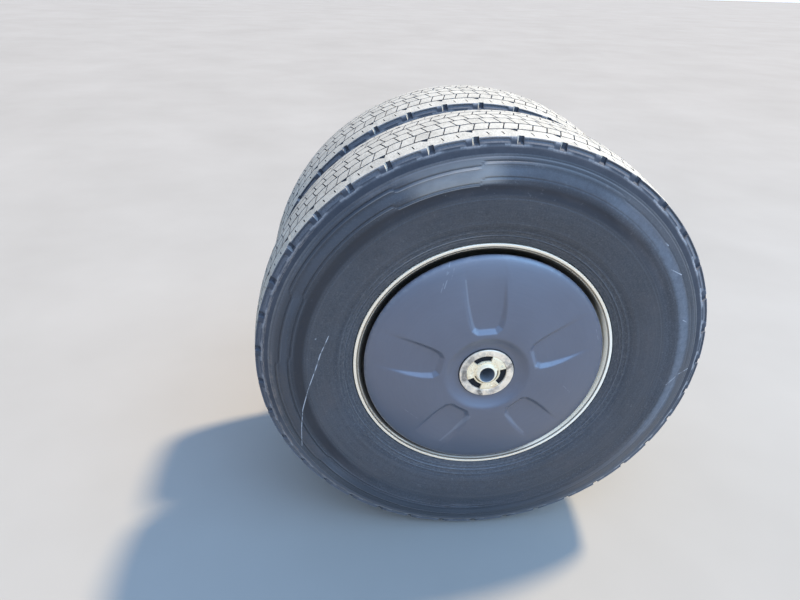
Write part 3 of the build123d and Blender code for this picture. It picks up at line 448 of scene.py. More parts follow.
# ------------------------------------------------------------------ plastic, metals, paint
def cover_plastic():
    m = Mat("cover_plastic", Specular_IOR_Level=1.0, Coat_Weight=0.45, Coat_Roughness=0.34)
    cloud = m.noise(m.obj(), 7.0, 5.0, 0.6)
    fine = m.noise(m.obj(), 900.0, 3.0, 0.6)
    grain = m.noise(m.around(5.0, 220.0), 1.0, 4.0, 0.6)
    colour = m.ramp(m.mixf(0.4, cloud, grain), (0.3, (0.066, 0.076, 0.104)), (0.6, (0.080, 0.091, 0.120)), (0.85, (0.097, 0.109, 0.138)))
    r, c, s, y = m.polar()
    edge = m.math("MULTIPLY", m.step(r, 0.262, 0.2735), m.step(m.noise(m.obj(), 60.0, 4.0, 0.6), 0.45, 0.7, 0.1, 0.6))
    colour = m.mix(edge, colour, (0.19, 0.19, 0.20))
    marks = m.either(m.scratch((-93, 262), (-103, 232), 1.5), m.scratch((-86, 250), (-92, 226), 1.2), m.scratch((-100, 226), (-106, 206), 1.6),
                     m.scratch((-108, 216), (-113, 196), 1.3), m.scratch((-97, 240), (-110, 222), 1.0),
                     m.scratch((243, 96), (252, 70), 0.9), m.scratch((182, -40), (205, -66), 0.8),
                     m.scratch((-190, -96), (-150, -130), 0.8))
    broken = m.step(m.noise(m.obj(), 70.0, 3.0, 0.6), 0.42, 0.58)
    colour = m.mix(m.math("MULTIPLY", m.math("MULTIPLY", marks, broken), 0.4), colour, (0.30, 0.31, 0.33))
    # painted sky sheen: pale blue streaks along the pocket walls
    pocket_wall_sky_sheen = m.either(m.scratch((-31.0, -119.0), (-60.0, -163.0), 5.5), m.scratch((-60.0, -163.0), (-91.0, -205.0), 3.5),
                    m.scratch((55.0, -116.0), (82.0, -150.0), 4.5), m.scratch((82.0, -150.0), (109.0, -183.0), 3.0),
                    m.scratch((-62.0, 224.0), (-53.0, 167.0), 2.6), m.scratch((-53.0, 167.0), (-42.0, 126.0), 4.0),
                    m.scratch((-42.0, 126.0), (-34.0, 107.0), 4.6), m.scratch((97.0, 54.0), (109.0, 17.0), 4.8))
    colour = m.mix(m.math("MULTIPLY", pocket_wall_sky_sheen, m.step(cloud, 0.3, 0.7, 0.45, 0.70)), colour, (0.145, 0.162, 0.192))
    rough = m.step(cloud, 0.25, 0.8, 0.33, 0.44)
    return m.finish(colour, rough, fine, 0.05, 0.0004)


def latch_seat():
    """The rough seat under the latch ring, painted near-black: where it shows round the ring it is painted shadow."""
    m = Mat("latch_seat", Specular_IOR_Level=0.15)
    fine = m.noise(m.obj(), 300.0, 4.0, 0.6)
    return m.finish(m.ramp(fine, (0.3, (0.010, 0.011, 0.014)), (0.7, (0.022, 0.023, 0.027))), m.step(fine, 0.2, 0.8, 0.7, 0.9), fine, 0.2, 0.0004)


def polished_rim():
    m = Mat("polished_rim")
    brushed = m.noise(m.around(2.0, 900.0, 900.0), 1.0, 5.0, 0.7)
    cloud = m.noise(m.obj(), 14.0, 5.0, 0.6)
    colour = m.ramp(m.mixf(0.45, brushed, cloud), (0.3, (0.95, 0.83, 0.65)), (0.55, (1.0, 0.90, 0.72)), (0.8, (1.0, 0.93, 0.76)))
    r, c, s, y = m.polar()
    grime = m.math("MULTIPLY", m.step(r, 0.286, 0.280), m.step(m.noise(m.around(9.0, 90.0, 40.0), 1.0, 4.0, 0.65), 0.42, 0.68))
    colour = m.mix(m.math("MULTIPLY", grime, 0.5), colour, (0.20, 0.175, 0.15))
    # painted shadow on the rim's inner wall: dark round most of the wheel, faint on the right
    barrel_shadow = m.step(r, 0.2872, 0.2850)
    right = m.math("MULTIPLY", m.step(c, 0.30, 0.75), m.step(s, 0.60, 0.20))
    foot = m.step(s, -0.70, -0.92)
    low = m.math("MAXIMUM", m.math("MULTIPLY", m.step(r, 0.2886, 0.2879), 0.80), m.step(r, 0.2862, 0.2854))
    barrel_shadow = m.math("MULTIPLY", m.mixf(foot, barrel_shadow, low), m.mixf(right, 1.0, 0.10))
    colour = m.mix(m.math("MULTIPLY", barrel_shadow, 0.92), colour, m.ramp(brushed, (0.3, (0.030, 0.027, 0.024)), (0.7, (0.085, 0.075, 0.065))))
    # painted reflection: a bright cream band on the right inner slope, which is also less metallic
    colour = m.mix(m.math("MULTIPLY", right, m.step(r, 0.2884, 0.2874)), colour, (1.0, 0.87, 0.65))
    # painted shade in the groove between the bead and the slope
    groove = m.math("MULTIPLY", m.band(r, 0.2880, 0.2914, 0.0005), 0.80)
    colour = m.mix(groove, colour, (0.145, 0.125, 0.100))
    rough = m.math("ADD", m.step(brushed, 0.25, 0.8, 0.16, 0.30), m.math("MULTIPLY_ADD", barrel_shadow, 0.26, m.math("MULTIPLY", grime, 0.2)))
    return m.finish(colour, rough, brushed, 0.10, 0.0004, metal=m.mixf(right, 0.62, 0.12))


def latch_metal(name, cream):
    """Worn bright metal, mottled with grey; cream is the warmer plate in the middle."""
    m = Mat(name)
    cloud = m.noise(m.obj(), 60.0, 5.0, 0.65)
    fine = m.noise(m.around(14.0, 1100.0), 1.0, 4.0, 0.65)
    stops = ((0.34, (0.84, 0.66, 0.42)), (0.48, (1.0, 0.84, 0.57)), (0.66, (1.0, 0.91, 0.66))) if cream else \
        ((0.36, (0.74, 0.60, 0.45)), (0.48, (0.95, 0.80, 0.61)), (0.64, (1.0, 0.88, 0.70)))
    colour = m.ramp(m.mixf(0.35, cloud, fine), *stops)
    r, c, s, y = m.polar()
    grime = m.step(m.noise(m.obj(), 34.0, 4.0, 0.6), 0.60 if cream else 0.50, 0.70)
    if not cream:
        left = m.math("MULTIPLY", m.step(c, -0.35, -0.75), m.step(m.noise(m.obj(), 80.0, 4.0, 0.6), 0.34, 0.60))
        right = m.math("MULTIPLY", m.math("MULTIPLY", m.step(c, 0.50, 0.85), m.step(s, -0.1, 0.2)), m.step(m.noise(m.obj(), 110.0, 4.0, 0.6), 0.44, 0.60))
        foot = m.math("MULTIPLY", m.band(c, -0.40, -0.10, 0.10), m.step(s, -0.4, -0.6))
        grime = m.math("MAXIMUM", grime, m.math("MULTIPLY", m.either(left, right, foot), 0.85))
    colour = m.mix(m.math("MULTIPLY", grime, 0.60), colour, (0.24, 0.20, 0.165))
    if cream:
        # the nose, darker on its top side as painted shade, and specks of wear
        nose = m.math("MULTIPLY", m.step(r, 0.0247, 0.0240), m.step(y, -0.9943, -0.9950))
        colour = m.mix(nose, colour, m.mix(m.step(s, 0.10, 0.75), (1.0, 0.85, 0.60), (0.90, 0.72, 0.47)))
        speck = m.step(m.noise(m.obj(), 260.0, 3.0, 0.6), 0.60, 0.68)
        colour = m.mix(m.math("MULTIPLY", speck, 0.6), colour, (0.20, 0.15, 0.09))
    else:
        smudge = m.either(m.scratch((-51.0, 4.0), (-49.0, -15.0), 9.0), m.scratch((46.0, 13.0), (56.0, 24.0), 5.5),
                          m.scratch((-14.0, -48.0), (-8.0, -58.0), 6.5))
        smudge = m.math("MAXIMUM", smudge, m.math("MULTIPLY", m.scratch((-50.0, 16.0), (-36.0, 40.0), 8.0), 0.7))
        smudge = m.math("MULTIPLY", smudge, m.step(m.noise(m.obj(), 120.0, 4.0, 0.65), 0.34, 0.56, 0.35, 1.0))
        colour = m.mix(m.math("MULTIPLY", smudge, 0.80), colour, (0.11, 0.092, 0.076))
    # painted shade: dark in the nose's hole, along the outer edge of the ring face and round the foot of the nose
    rb = m.math("SUBTRACT", r, m.math("MULTIPLY", m.math("MULTIPLY", s, s), 0.0022))
    bore_shade = m.math("MULTIPLY", m.step(rb, 0.0176, 0.0170), m.step(y, -1.0009, -0.9998))
    colour = m.mix(bore_shade, colour, (0.15, 0.17, 0.19))
    edge = m.math("MULTIPLY", m.step(r, 0.0607, 0.0611), m.step(y, -0.9926, -0.9918))
    colour = m.mix(m.math("MULTIPLY", edge, 0.9), colour, (0.012, 0.012, 0.014))
    foot = m.math("MULTIPLY", m.band(r, 0.0243, 0.0270, 0.0004), m.step(y, -0.9932, -0.9920))
    colour = m.mix(m.math("MULTIPLY", foot, 0.85), colour, (0.085, 0.062, 0.040))
    dull = m.either(bore_shade, edge, nose) if cream else m.either(bore_shade, edge)
    return m.finish(colour, m.math("MULTIPLY_ADD", grime, 0.25, 0.30), m.mixf(0.5, cloud, fine), 0.2, 0.0005,
                    metal=m.math("MULTIPLY", m.step(grime, 0.0, 1.0, 0.36 if cream else 0.46, 0.2), m.step(dull, 0.0, 1.0, 1.0, 0.0)))


def zinc_steel():
    m = Mat("zinc_steel")
    cloud = m.noise(m.obj(), 38.0, 6.0, 0.62)
    fine = m.noise(m.obj(), 420.0, 4.0, 0.6)
    colour = m.ramp(m.mixf(0.4, cloud, fine), (0.28, (0.30, 0.27, 0.22)), (0.5, (0.50, 0.48, 0.43)), (0.75, (0.66, 0.645, 0.60)))
    stain = m.step(m.noise(m.obj(), 26.0, 4.0, 0.6), 0.56, 0.72)
    colour = m.mix(m.math("MULTIPLY", stain, 0.55), colour, (0.19, 0.115, 0.065))
    return m.finish(colour, m.math("MULTIPLY_ADD", stain, 0.3, m.step(cloud, 0.2, 0.8, 0.32, 0.50)), m.mixf(0.5, cloud, fine), 0.25, 0.0005,
                    metal=m.step(stain, 0.0, 1.0, 0.9, 0.3))


def shaft_steel():
    m = Mat("shaft_steel", Metallic=0.85)
    turned = m.noise(m.around(1.5, 500.0, 700.0), 1.0, 4.0, 0.6)
    cloud = m.noise(m.obj(), 24.0, 5.0, 0.6)
    colour = m.ramp(m.mixf(0.5, turned, cloud), (0.3, (0.20, 0.19, 0.18)), (0.55, (0.36, 0.345, 0.33)), (0.8, (0.52, 0.50, 0.48)))
    oil = m.step(m.noise(m.obj(), 15.0, 4.0, 0.6), 0.50, 0.68)
    colour = m.mix(m.math("MULTIPLY", oil, 0.6), colour, (0.075, 0.060, 0.048))
    return m.finish(colour, m.step(cloud, 0.2, 0.8, 0.28, 0.48), m.mixf(0.6, turned, cloud), 0.18, 0.0005)


def cast_iron():
    m = Mat("cast_iron", Specular_IOR_Level=0.4)
    grit = m.noise(m.obj(), 320.0, 5.0, 0.7)
    cloud = m.noise(m.obj(), 17.0, 6.0, 0.62)
    colour = m.ramp(cloud, (0.30, (0.085, 0.074, 0.068)), (0.50, (0.135, 0.112, 0.098)), (0.74, (0.205, 0.165, 0.138)))
    rust = m.step(m.noise(m.obj(), 34.0, 6.0, 0.7), 0.50, 0.66)
    colour = m.mix(m.math("MULTIPLY", rust, 0.75), colour, m.ramp(grit, (0.3, (0.115, 0.050, 0.024)), (0.7, (0.26, 0.125, 0.060))))
    return m.finish(colour, m.step(grit, 0.2, 0.8, 0.62, 0.88), m.math("MULTIPLY_ADD", grit, 0.7, cloud), 0.45, 0.0012,
                    metal=m.step(rust, 0.0, 1.0, 0.35, 0.0))


def chassis_paint():
    m = Mat("chassis_paint", Specular_IOR_Level=0.5)
    peel = m.noise(m.obj(), 150.0, 3.0, 0.5)
    cloud = m.noise(m.obj(), 11.0, 5.0, 0.62)
    colour = m.ramp(cloud, (0.30, (0.014, 0.015, 0.018)), (0.55, (0.024, 0.025, 0.029)), (0.80, (0.040, 0.040, 0.042)))
    normal = m.nt.nodes.new("ShaderNodeNewGeometry")
    split = m.nt.nodes.new("ShaderNodeSeparateXYZ")
    m.put(split.inputs[0], normal.outputs["Normal"])
    dust = m.math("MULTIPLY", m.step(split.outputs[2], 0.15, 0.95, 0.10, 0.85), m.step(m.noise(m.obj(), 42.0, 5.0, 0.7), 0.36, 0.70))
    colour = m.mix(m.math("MULTIPLY", dust, 0.75), colour, (0.205, 0.185, 0.160))
    chip = m.step(m.noise(m.obj(), 85.0, 5.0, 0.72), 0.655, 0.69)
    colour = m.mix(chip, colour, (0.20, 0.095, 0.045))
    rough = m.math("MULTIPLY_ADD", dust, 0.35, m.math("MULTIPLY_ADD", chip, 0.25, 0.36), clamp=True)
    return m.finish(colour, rough, m.math("MULTIPLY_ADD", chip, -0.8, peel), 0.16, 0.0008)


def friction_lining():
    m = Mat("friction_lining", Specular_IOR_Level=0.3)
    chop = m.noise(m.obj(), 260.0, 5.0, 0.75)
    cloud = m.noise(m.obj(), 20.0, 4.0, 0.6)
    colour = m.ramp(m.mixf(0.6, chop, cloud), (0.30, (0.10, 0.085, 0.072)), (0.5, (0.19, 0.165, 0.14)), (0.72, (0.30, 0.265, 0.225)))
    fleck = m.step(m.noise(m.obj(), 520.0, 2.0, 0.6), 0.66, 0.72)
    colour = m.mix(m.math("MULTIPLY", fleck, 0.7), colour, (0.52, 0.42, 0.24))
    return m.finish(colour, m.step(chop, 0.2, 0.8, 0.70, 0.92), chop, 0.4, 0.0008)


MATERIALS = {
    "polished_rim": polished_rim(), "latch_metal": latch_metal("latch_metal", False),
    "latch_plate": latch_metal("latch_plate_metal", True), "latch_seat": latch_seat(), "zinc_steel": zinc_steel(),
    "shaft_steel": shaft_steel(), "cast_iron": cast_iron(), "chassis_paint": chassis_paint(), "lining": friction_lining(),
    "cover_plastic": cover_plastic(),
    "tyre_rubber": sidewall_rubber("sidewall_rubber", True),
}
SIDEWALL_INNER = sidewall_rubber("sidewall_rubber_inner", False)
# the third is a darker copy of the top rubber, painted shade on the notch walls further round the wheel
TREAD = [tread_side("tread_side_rubber"), tread_top("tread_top_rubber"), tread_top("tread_shaded_copy_rubber", True)]

for sub in frame["record"]["subparts"]:
    node = NODES[sub["node"]]
    node.data.materials.clear()
    node.data.materials.append(MATERIALS[sub["material_slot"]])

# ------------------------------------------------------------------ tyres
PITCHES = 37
PITCH = 360.0 / PITCHES                       # degrees
PITCH_MM = math.radians(PITCH) * 514.0
GROOVE = 8.0


def crown(v):
    """Tread radius; the outboard shoulder is worn lower than the inboard one."""
    v = np.asarray(v, float)
    return 527.32 - 8.0 * (v / 110.0) ** 2 - 0.0263 * v


def jog(theta, table):
    """Level round the wheel from (angle, level) pairs, stepping over 1.6 degrees at each angle."""
    t = np.degrees(theta) % 360.0
    level = np.full_like(t, table[-1][1])
    for k, (at, value) in enumerate(table):
        before = table[k - 1][1]
        level = level + (value - before) * smooth(t, at, at + 1.6) if k else level + (value - before) * smooth(t, at, at + 1.6)
    return level


OUT_LINE = [(20, 466.5), (58, 474.5), (95, 466.5), (116.8, 473.0), (155.2, 463.0), (176.8, 471.0), (213.5, 466.0), (246, 468.0),
            (291, 462.0), (331, 459.5), (358.2, 472.0)]
IN_LINE = [(40, 444.0), (95.2, 434.5), (118.2, 443.5), (154.6, 438.0), (175, 443.0), (214, 438.0), (262, 434.0), (303, 443.0), (340, 436.0)]


def sidewall_relief(r, theta):
    """Height of the moulded detail over the plain wall in mm, and line: -1 in grooves, +1 on ridges."""
    out_line, in_line = jog(theta, OUT_LINE), jog(theta, IN_LINE)
    quiet = 1 - 0.66 * smooth(np.cos(theta), -0.06, 0.24)
    d = 0.9 * quiet * smooth(r, in_line + 0.4, in_line + 2.4) * (1 - smooth(r, out_line - 3.0, out_line - 1.0))
    d = d - 1.5 * bump(r, 419.0, 15.0)
    grooves = [(out_line, 2.1, quiet), (in_line, 2.1, 0.85 * quiet), (403.0, 2.0, 0.4), (334.5, 1.8, 0.4), (482.4, 1.8, 0.35), (322.0, 1.6, 0.5)]
    ridges = [(out_line - 5.5, 2.0, 0.85 * quiet ** 2), (in_line - 5.0, 2.0, 0.75 * quiet ** 2), (479.4, 1.7, 0.3), (400.0, 1.7, 0.25), (348.5, 1.6, 0.35), (330.0, 1.5, 0.45),
              (318.8, 1.6, 0.85), (312.0, 1.5, 0.5), (345.0, 1.5, 0.2)]
    line = 0.0
    for at, half, amount in grooves:
        b = bump(r, at, half) * amount
        d = d - 1.3 * b
        line = line - b
    for at, half, amount in ridges:
        b = bump(r, at, half) * amount
        d = d + 1.2 * b
        line = line + b
    # fine knurl by the rim
    d = d + 0.22 * np.cos(theta * 300.0) * smooth(r, 302.5, 303.5) * (1 - smooth(r, 308.0, 309.0))
    return d, line


WALL_RA = [(301.0, 117.0), (326.0, 127.0), (352.0, 134.5), (382.0, 138.6), (412.0, 139.5), (440.0, 138.0), (466.0, 132.0),
           (487.0, 124.6)]
wall_of = pchip(*zip(*WALL_RA))


def casing_rows():
    rows = [301.0, 302.4, 303.6, 305.8, 308.0, 309.2, 310.7, 311.4, 312.0, 312.7, 313.4, 315.4, 317.5, 318.3, 319.0, 319.8, 320.6,
            324.0, 328.6, 329.3, 330.0, 330.7, 331.4, 333.0, 334.5, 336.2, 340.0, 343.6, 345.0, 346.5, 347.7, 349.0, 350.5, 356.0,
            364.0, 372.0, 380.0, 388.0, 395.0, 398.4, 400.0, 401.3, 402.5, 404.2, 409.0, 414.0, 419.0]
    rows += list(np.arange(421.5, 478.0, 1.2))
    rows += [479.3, 480.2, 481.0, 481.8, 482.7, 483.6, 484.6, 485.6, 487.0]
    return np.array(rows)


def casing(name, centre_y, side, material, node, columns=600):
    theta = (np.arange(columns) + 0.5) * 2 * math.pi / columns
    r = casing_rows()
    a = wall_of(r)
    slope = np.gradient(a, r)
    nr, na = -slope / np.hypot(slope, 1), 1 / np.hypot(slope, 1)
    d, line = sidewall_relief(r[:, None], theta[None, :])
    fade = (1 - smooth(r, 484.0, 486.5))[:, None]
    wall_r = r[:, None] + nr[:, None] * d * fade
    wall_a = a[:, None] + na[:, None] * d * fade
    one = np.ones((1, columns))

    def plain(points):
        return np.array([p[0] for p in points])[:, None] * one, np.array([p[1] for p in points])[:, None] * one
    bead = plain([(279.4, 79.0), (283.0, 92.5), (286.1, 103.3), (291.0, 106.3), (297.0, 108.6), (299.0, 112.4), (300.2, 115.4)])
    under = plain([(489.0, 121.0), (500.0, 106.0), (506.0, 60.0), (507.5, 0.0), (506.0, -60.0), (500.0, -106.0), (489.0, -121.0)])
    far_r = np.array([487.0, 481.8, 481.0, 480.2, 472, 466.5, 465.0, 463.5, 452.0, 440.0, 431.5, 430.0, 428.5, 420.0, 406.0, 392.0, 376.0, 360.0,
                      345.0, 332.0, 320.4, 319.0, 317.6, 309.0, 301.0])
    far = plain([(q, -float(wall_of(q)) - (0.9 if q in (481.0, 465.0, 430.0, 319.0) else 0.0)) for q in far_r]
                + [(300.2, -115.4), (297.0, -108.6), (286.1, -103.3), (279.4, -79.0)])
    liner = plain([(300.0, -92.0), (340.0, -112.0), (372.0, -123.0), (412.0, -127.0), (465.0, -120.0), (487.0, -98.0), (493.0, -60.0),
                   (494.5, 0.0), (493.0, 60.0), (487.0, 98.0), (465.0, 120.0), (412.0, 127.0), (372.0, 123.0), (340.0, 112.0), (300.0, 92.0)])
    rr = np.vstack([bead[0], wall_r, under[0], far[0], liner[0]])
    aa = np.vstack([bead[1], wall_a, under[1], far[1], liner[1]])
    shells = Shells()
    shells.ring(rr, centre_y - side * aa, theta[None, :] * np.ones_like(rr))
    lines = np.zeros_like(rr)
    lines[len(bead[0]):len(bead[0]) + len(r)] = line
    return shells.piece(name, material, "wheel", (node,), sharp=38.0, values={"line": lines})


# shoulder, from the groove over the rib and down the flank: plain path, the path along a notch's floor, the scoop's path
RIB = [  # v, r (None: on the crown, below 0: under it), the same twice more where it differs
    (75.4, -8.6), (75.4, -1.3), (76.4, None), (80.0, None), (84.0, None), (88.7, None), (89.0, None), (95.5, None), (102.0, None),
    (102.3, None), (105.0, None), (107.2, None, 107.0, None), (109.0, None, 107.3, 512.0), (111.0, None, 107.5, 508.5),
    (112.3, 515.9, 108.2, 506.3, 112.3, 515.9), (113.4, 514.6, 110.5, 505.0, 113.0, 515.0), (114.4, 512.6, 112.5, 504.1, 112.2, 512.8),
    (115.4, 510.4, 114.5, 503.4, 111.5, 511.0), (116.2, 508.2, 116.3, 502.9, 113.5, 509.2), (117.0, 506.0, 117.6, 502.6, 115.6, 507.3),
    (117.7, 503.9, 118.3, 502.3, 117.6, 505.5), (118.3, 502.4, 118.6, 501.8, 118.2, 504.4), (118.9, 501.2, 118.9, 501.2, 118.4, 502.0),
    (120.0, 499.0, 120.0, 499.0, 119.4, 500.0), (121.0, 496.3, 121.0, 496.3, 120.7, 497.4), (123.0, 491.4), (124.7, 487.0),
    (123.6, 485.2), (112.0, 488.0), (96.0, 490.0), (78.0, 504.0), (75.4, 508.0),
]
# columns of one pitch: position on the rib, position on the flank, part of the notch, part of the scoop, tick (1 on), slant of the tick
COLS = [
    (0.0, 0.0, 1, 0, 0, 0), (6.0, 5.0, 1, 0, 0, 0), (8.5, 9.3, 1, 0, 0, 0), (15.0, 13.5, 0, 0, 0, 0), (18.0, 17.0, 0, 0, 0, 0),
    (21.0, 21.0, 0, 0, 0, 0), (25.0, 25.0, 0, 0.0, 0, 0), (28.0, 28.0, 0, 1, 0, 0), (36.8, 36.8, 0, 1, 0, 1), (37.1, 37.1, 0, 1, 1, 1),
    (38.9, 38.9, 0, 1, 1, 1), (39.2, 39.2, 0, 1, 0, 1), (52.0, 52.0, 0, 1, 0, 0.5), (66.0, 66.0, 0, 1, 0, 1), (66.3, 66.3, 0, 1, 1, 1),
    (68.1, 68.1, 0, 1, 1, 1), (68.4, 68.4, 0, 1, 0, 1), (78.5, 78.5, 0, 1, 0, 0), (83.0, 83.0, 0, 0.75, 0, 0),
    (PITCH_MM - 0.4, PITCH_MM - 0.4, 0, 0.6, 0, 0),
]


def shoulder(shells, centre_y, side, start, rng):
    """One shoulder ring: side is +1 outboard, -1 inboard; start is a pitch's first angle. Gives back the dust for its
    points, which near the top of the wheel also holds painted sunlight.
    """
    rows = len(RIB)

    def radius(v, r):
        if r is None or r < 0:
            return crown(side * v) + (r or 0.0)
        return r if side > 0 else r + 5.9 * min(max((r - 499.0) / 17.2, 0.0), 1.0)
    paths = [[q[2 * k:2 * k + 2] if len(q) > 2 * k else q[:2] for q in RIB] for k in range(3)]
    v, nv, sv = (np.array([q[0] for q in path]) for path in paths)
    r, nr, sr = (np.array([radius(*q) for q in path]) for path in paths)
    on_crown = np.array([q[1] is None for q in RIB])
    u_rib, u_flank = np.array([q[0] for q in COLS]), np.array([q[1] for q in COLS])
    notch, scoop, tick, slant = (np.array([q[k] for q in COLS], float)[None, :] for k in (2, 3, 4, 5))
    vv = (v[:, None] * (1 - scoop) + sv[:, None] * scoop) * (1 - notch) + nv[:, None] * notch
    rr = (r[:, None] * (1 - scoop) + sr[:, None] * scoop) * (1 - notch) + nr[:, None] * notch
    out = smooth(v, 90.0, 105.0)[:, None]
    uu = u_rib[None, :] * (1 - out) + u_flank[None, :] * out
    uu = uu - slant * 0.25 * (np.clip(v, 87.0, 104.0) - 95.5)[:, None] * (1 - smooth(v, 102.3, 110.0))[:, None] * (v < 125)[:, None]
    # the notch's left wall runs out towards the flank
    uu[12:22, 2] = 9.3 + 4.0 * np.clip((nv[12:22] - 107.3) / 11.0, 0, 1)
    uu[22:27, 2] = 13.3
    # ticks across the rib
    rr = rr - 5.0 * tick * ((v > 88.9) & (v < 102.1))[:, None]
    # dark bite where the rib meets the groove
    bite = np.interp(u_rib, [6.0, 8.5, 15.0, 18.0, 21.0], [0.0, 10.3, 5.6, 3.0, 0.0])[None, :]
    vv[:3] = vv[:3] + bite
    vv[3:5] = np.maximum(vv[3:5], vv[2:3] + np.array([[0.5], [1.0]]))
    vv[-2:] = vv[-2:] + bite
    cr = crown(side * vv)
    on = on_crown[:, None] & (notch < 0.5) | (np.arange(rows) < 12)[:, None] & on_crown[:, None]
    rr = np.where(on & (tick < 0.5), cr, rr)
    top = (cr - rr < 0.45) & (vv < 112.6)
    nxt_v = np.roll(top, -1, axis=1)
    face = top & np.roll(top, -1, axis=0) & nxt_v & np.roll(nxt_v, -1, axis=0)
    face = face.astype(int)
    dust = np.where((np.arange(rows) >= 12) & (np.arange(rows) <= 27), 0.12, 0.0)[:, None] * np.ones((1, len(COLS)))
    near = ((u_flank < 38.0) | (u_flank > 77.0))[None, :]
    dust[21:24] = np.where(near, np.array([[0.42], [0.95], [0.50]]), np.array([[0.12], [0.30], [0.34]]))
    dust[17:21] = np.maximum(dust[17:21], 0.40 * scoop)
    dust[14:21] = np.where(notch > 0.5, 0.30, dust[14:21])
    dust[14:16] = np.where(notch > 0.5, 0.12, 0.34)
    all_r, all_v, all_t, all_k, all_d = [], [], [], [], []
    for k in range(PITCHES):
        wear = rng.uniform(-0.25, 0.0)
        all_r.append(rr + on_crown[:, None] * wear)
        all_v.append(vv)
        all_t.append(np.radians(start + k * PITCH) + uu / 514.0)
        # painted sunlight and shade on the notch's left wall: pale top rubber near the top of the wheel, its darker
        # copy further round
        kinds = face.copy()
        if 48 < (start + k * PITCH) % 360 < 118:
            kinds[11:22, 2] = 1
        elif 28 < (start + k * PITCH) % 360 < 150:
            kinds[11:22, 2] = 2
        all_k.append(kinds)
        worn = dust.copy()
        # painted sunlight: the flank rows under the rib grow paler the nearer the pitch is to the top of the wheel
        top_sunlight = max(0.0, 1 - abs((start + k * PITCH) % 360 - 94.0) / 44.0)
        worn[14:19] = np.where(notch > 0.5, worn[14:19], np.maximum(worn[14:19], np.array([[1.0], [1.0], [0.62], [0.34], [0.2]]) * min(1.0, 1.6 * top_sunlight)))
        all_d.append(worn)
    shells.ring(np.hstack(all_r), centre_y - side * np.hstack(all_v), np.hstack(all_t), np.hstack(all_k))
    return np.hstack(all_d).ravel()


def zigzag(u, period):
    """Triangle wave from -1 to 1."""
    t = (u / period) % 1.0
    return 4 * np.abs(t - 0.5) - 1


GAP = 1.35                                     # half of a groove between the rows
ROWS = [  # v from, v to, sipe slant, first sipe's place, sipe gap
    (74.1, 37.0, -8.2, 0.0, 1.25), (37.0, 0.0, 9.2, 5.9, 1.15), (0.0, -37.0, 9.2, 5.6, 1.15), (-37.0, -74.1, -8.0, 13.4, 1.3),
]


def blocks(shells, centre_y, start, rng):
    """The four rows of narrow blocks between the shoulders."""
    nu, nk = 5, 4
    t_u = np.array([0.0, 0.25, 0.5, 0.75, 1.0])
    t_v = np.array([0.0, 0.36, 0.64, 1.0])
    grid = np.arange(nu * nk).reshape(nk, nu)
    rim = list(grid[0, :]) + list(grid[1:, -1]) + list(grid[-1, -2::-1]) + list(grid[-2:0:-1, 0])
    rim = np.array(rim)
    n, e = nu * nk, len(rim)
    quads, kinds = [], []
    for k in range(nk - 1):
        for j in range(nu - 1):
            kinds += [1, 0]
            a, b, c, d = grid[k, j], grid[k, j + 1], grid[k + 1, j + 1], grid[k + 1, j]
            quads.append((a + n + e, b + n + e, c + n + e, d + n + e))
            quads.append((d, c, b, a))
    for j in range(e):
        j2 = (j + 1) % e
        kinds += [0, 0]
        quads.append((rim[j], rim[j2], n + j2, n + j))
        quads.append((n + j, n + j2, n + e + rim[j2], n + e + rim[j]))
    quads = np.array(quads)
    brick = PITCH_MM / 3
    ch, drop = 0.65, 1.1
    verts, faces, sorts, count = [], [], [], 0
    for v_hi, v_lo, lean, offset, gap in ROWS:
        for k in range(PITCHES * 3):
            u0 = offset + k * brick
            g = GAP
            lift = rng.uniform(-0.35, 0.0)
            tv, tu = np.meshgrid(t_v, t_u, indexing="ij")
            shift = lean * (tv - 0.5)

            def lay(inset):
                u = u0 + gap / 2 + inset + (brick - gap - 2 * inset) * tu + shift
                hi = v_hi - (g if abs(v_hi) < 70 else 1.1) - inset
                lo = v_lo + (g if abs(v_lo) < 70 else 1.1) + inset
                wave = 0.9 * zigzag(u0 + brick * tu, brick)
                wave_hi = wave * (1 if abs(v_hi) < 70 else 0)
                wave_lo = wave * (1 if abs(v_lo) < 70 else 0)
                v = (hi + wave_hi) * (1 - tv) + (lo + wave_lo) * tv
                return u, v
            u, v = lay(0.0)
            ui, vi = lay(ch)
            theta0 = math.radians(start)
            low = np.stack([crown(v) - GROOVE - 0.6, v, theta0 + u / 514.0], -1).reshape(-1, 3)
            mid = np.stack([crown(v) - drop + lift, v, theta0 + u / 514.0], -1).reshape(-1, 3)[rim]
            high = np.stack([crown(vi) - 0.02 + lift, vi, theta0 + ui / 514.0], -1).reshape(-1, 3)
            p = np.vstack([low, mid, high])
            verts.append(np.stack([p[:, 0] * np.cos(p[:, 2]), centre_y - p[:, 1], p[:, 0] * np.sin(p[:, 2])], -1) * MM)
            faces.append(quads + count)
            sorts += kinds
            count += len(p)
    shells.add(np.concatenate(verts), np.concatenate(faces), sorts)


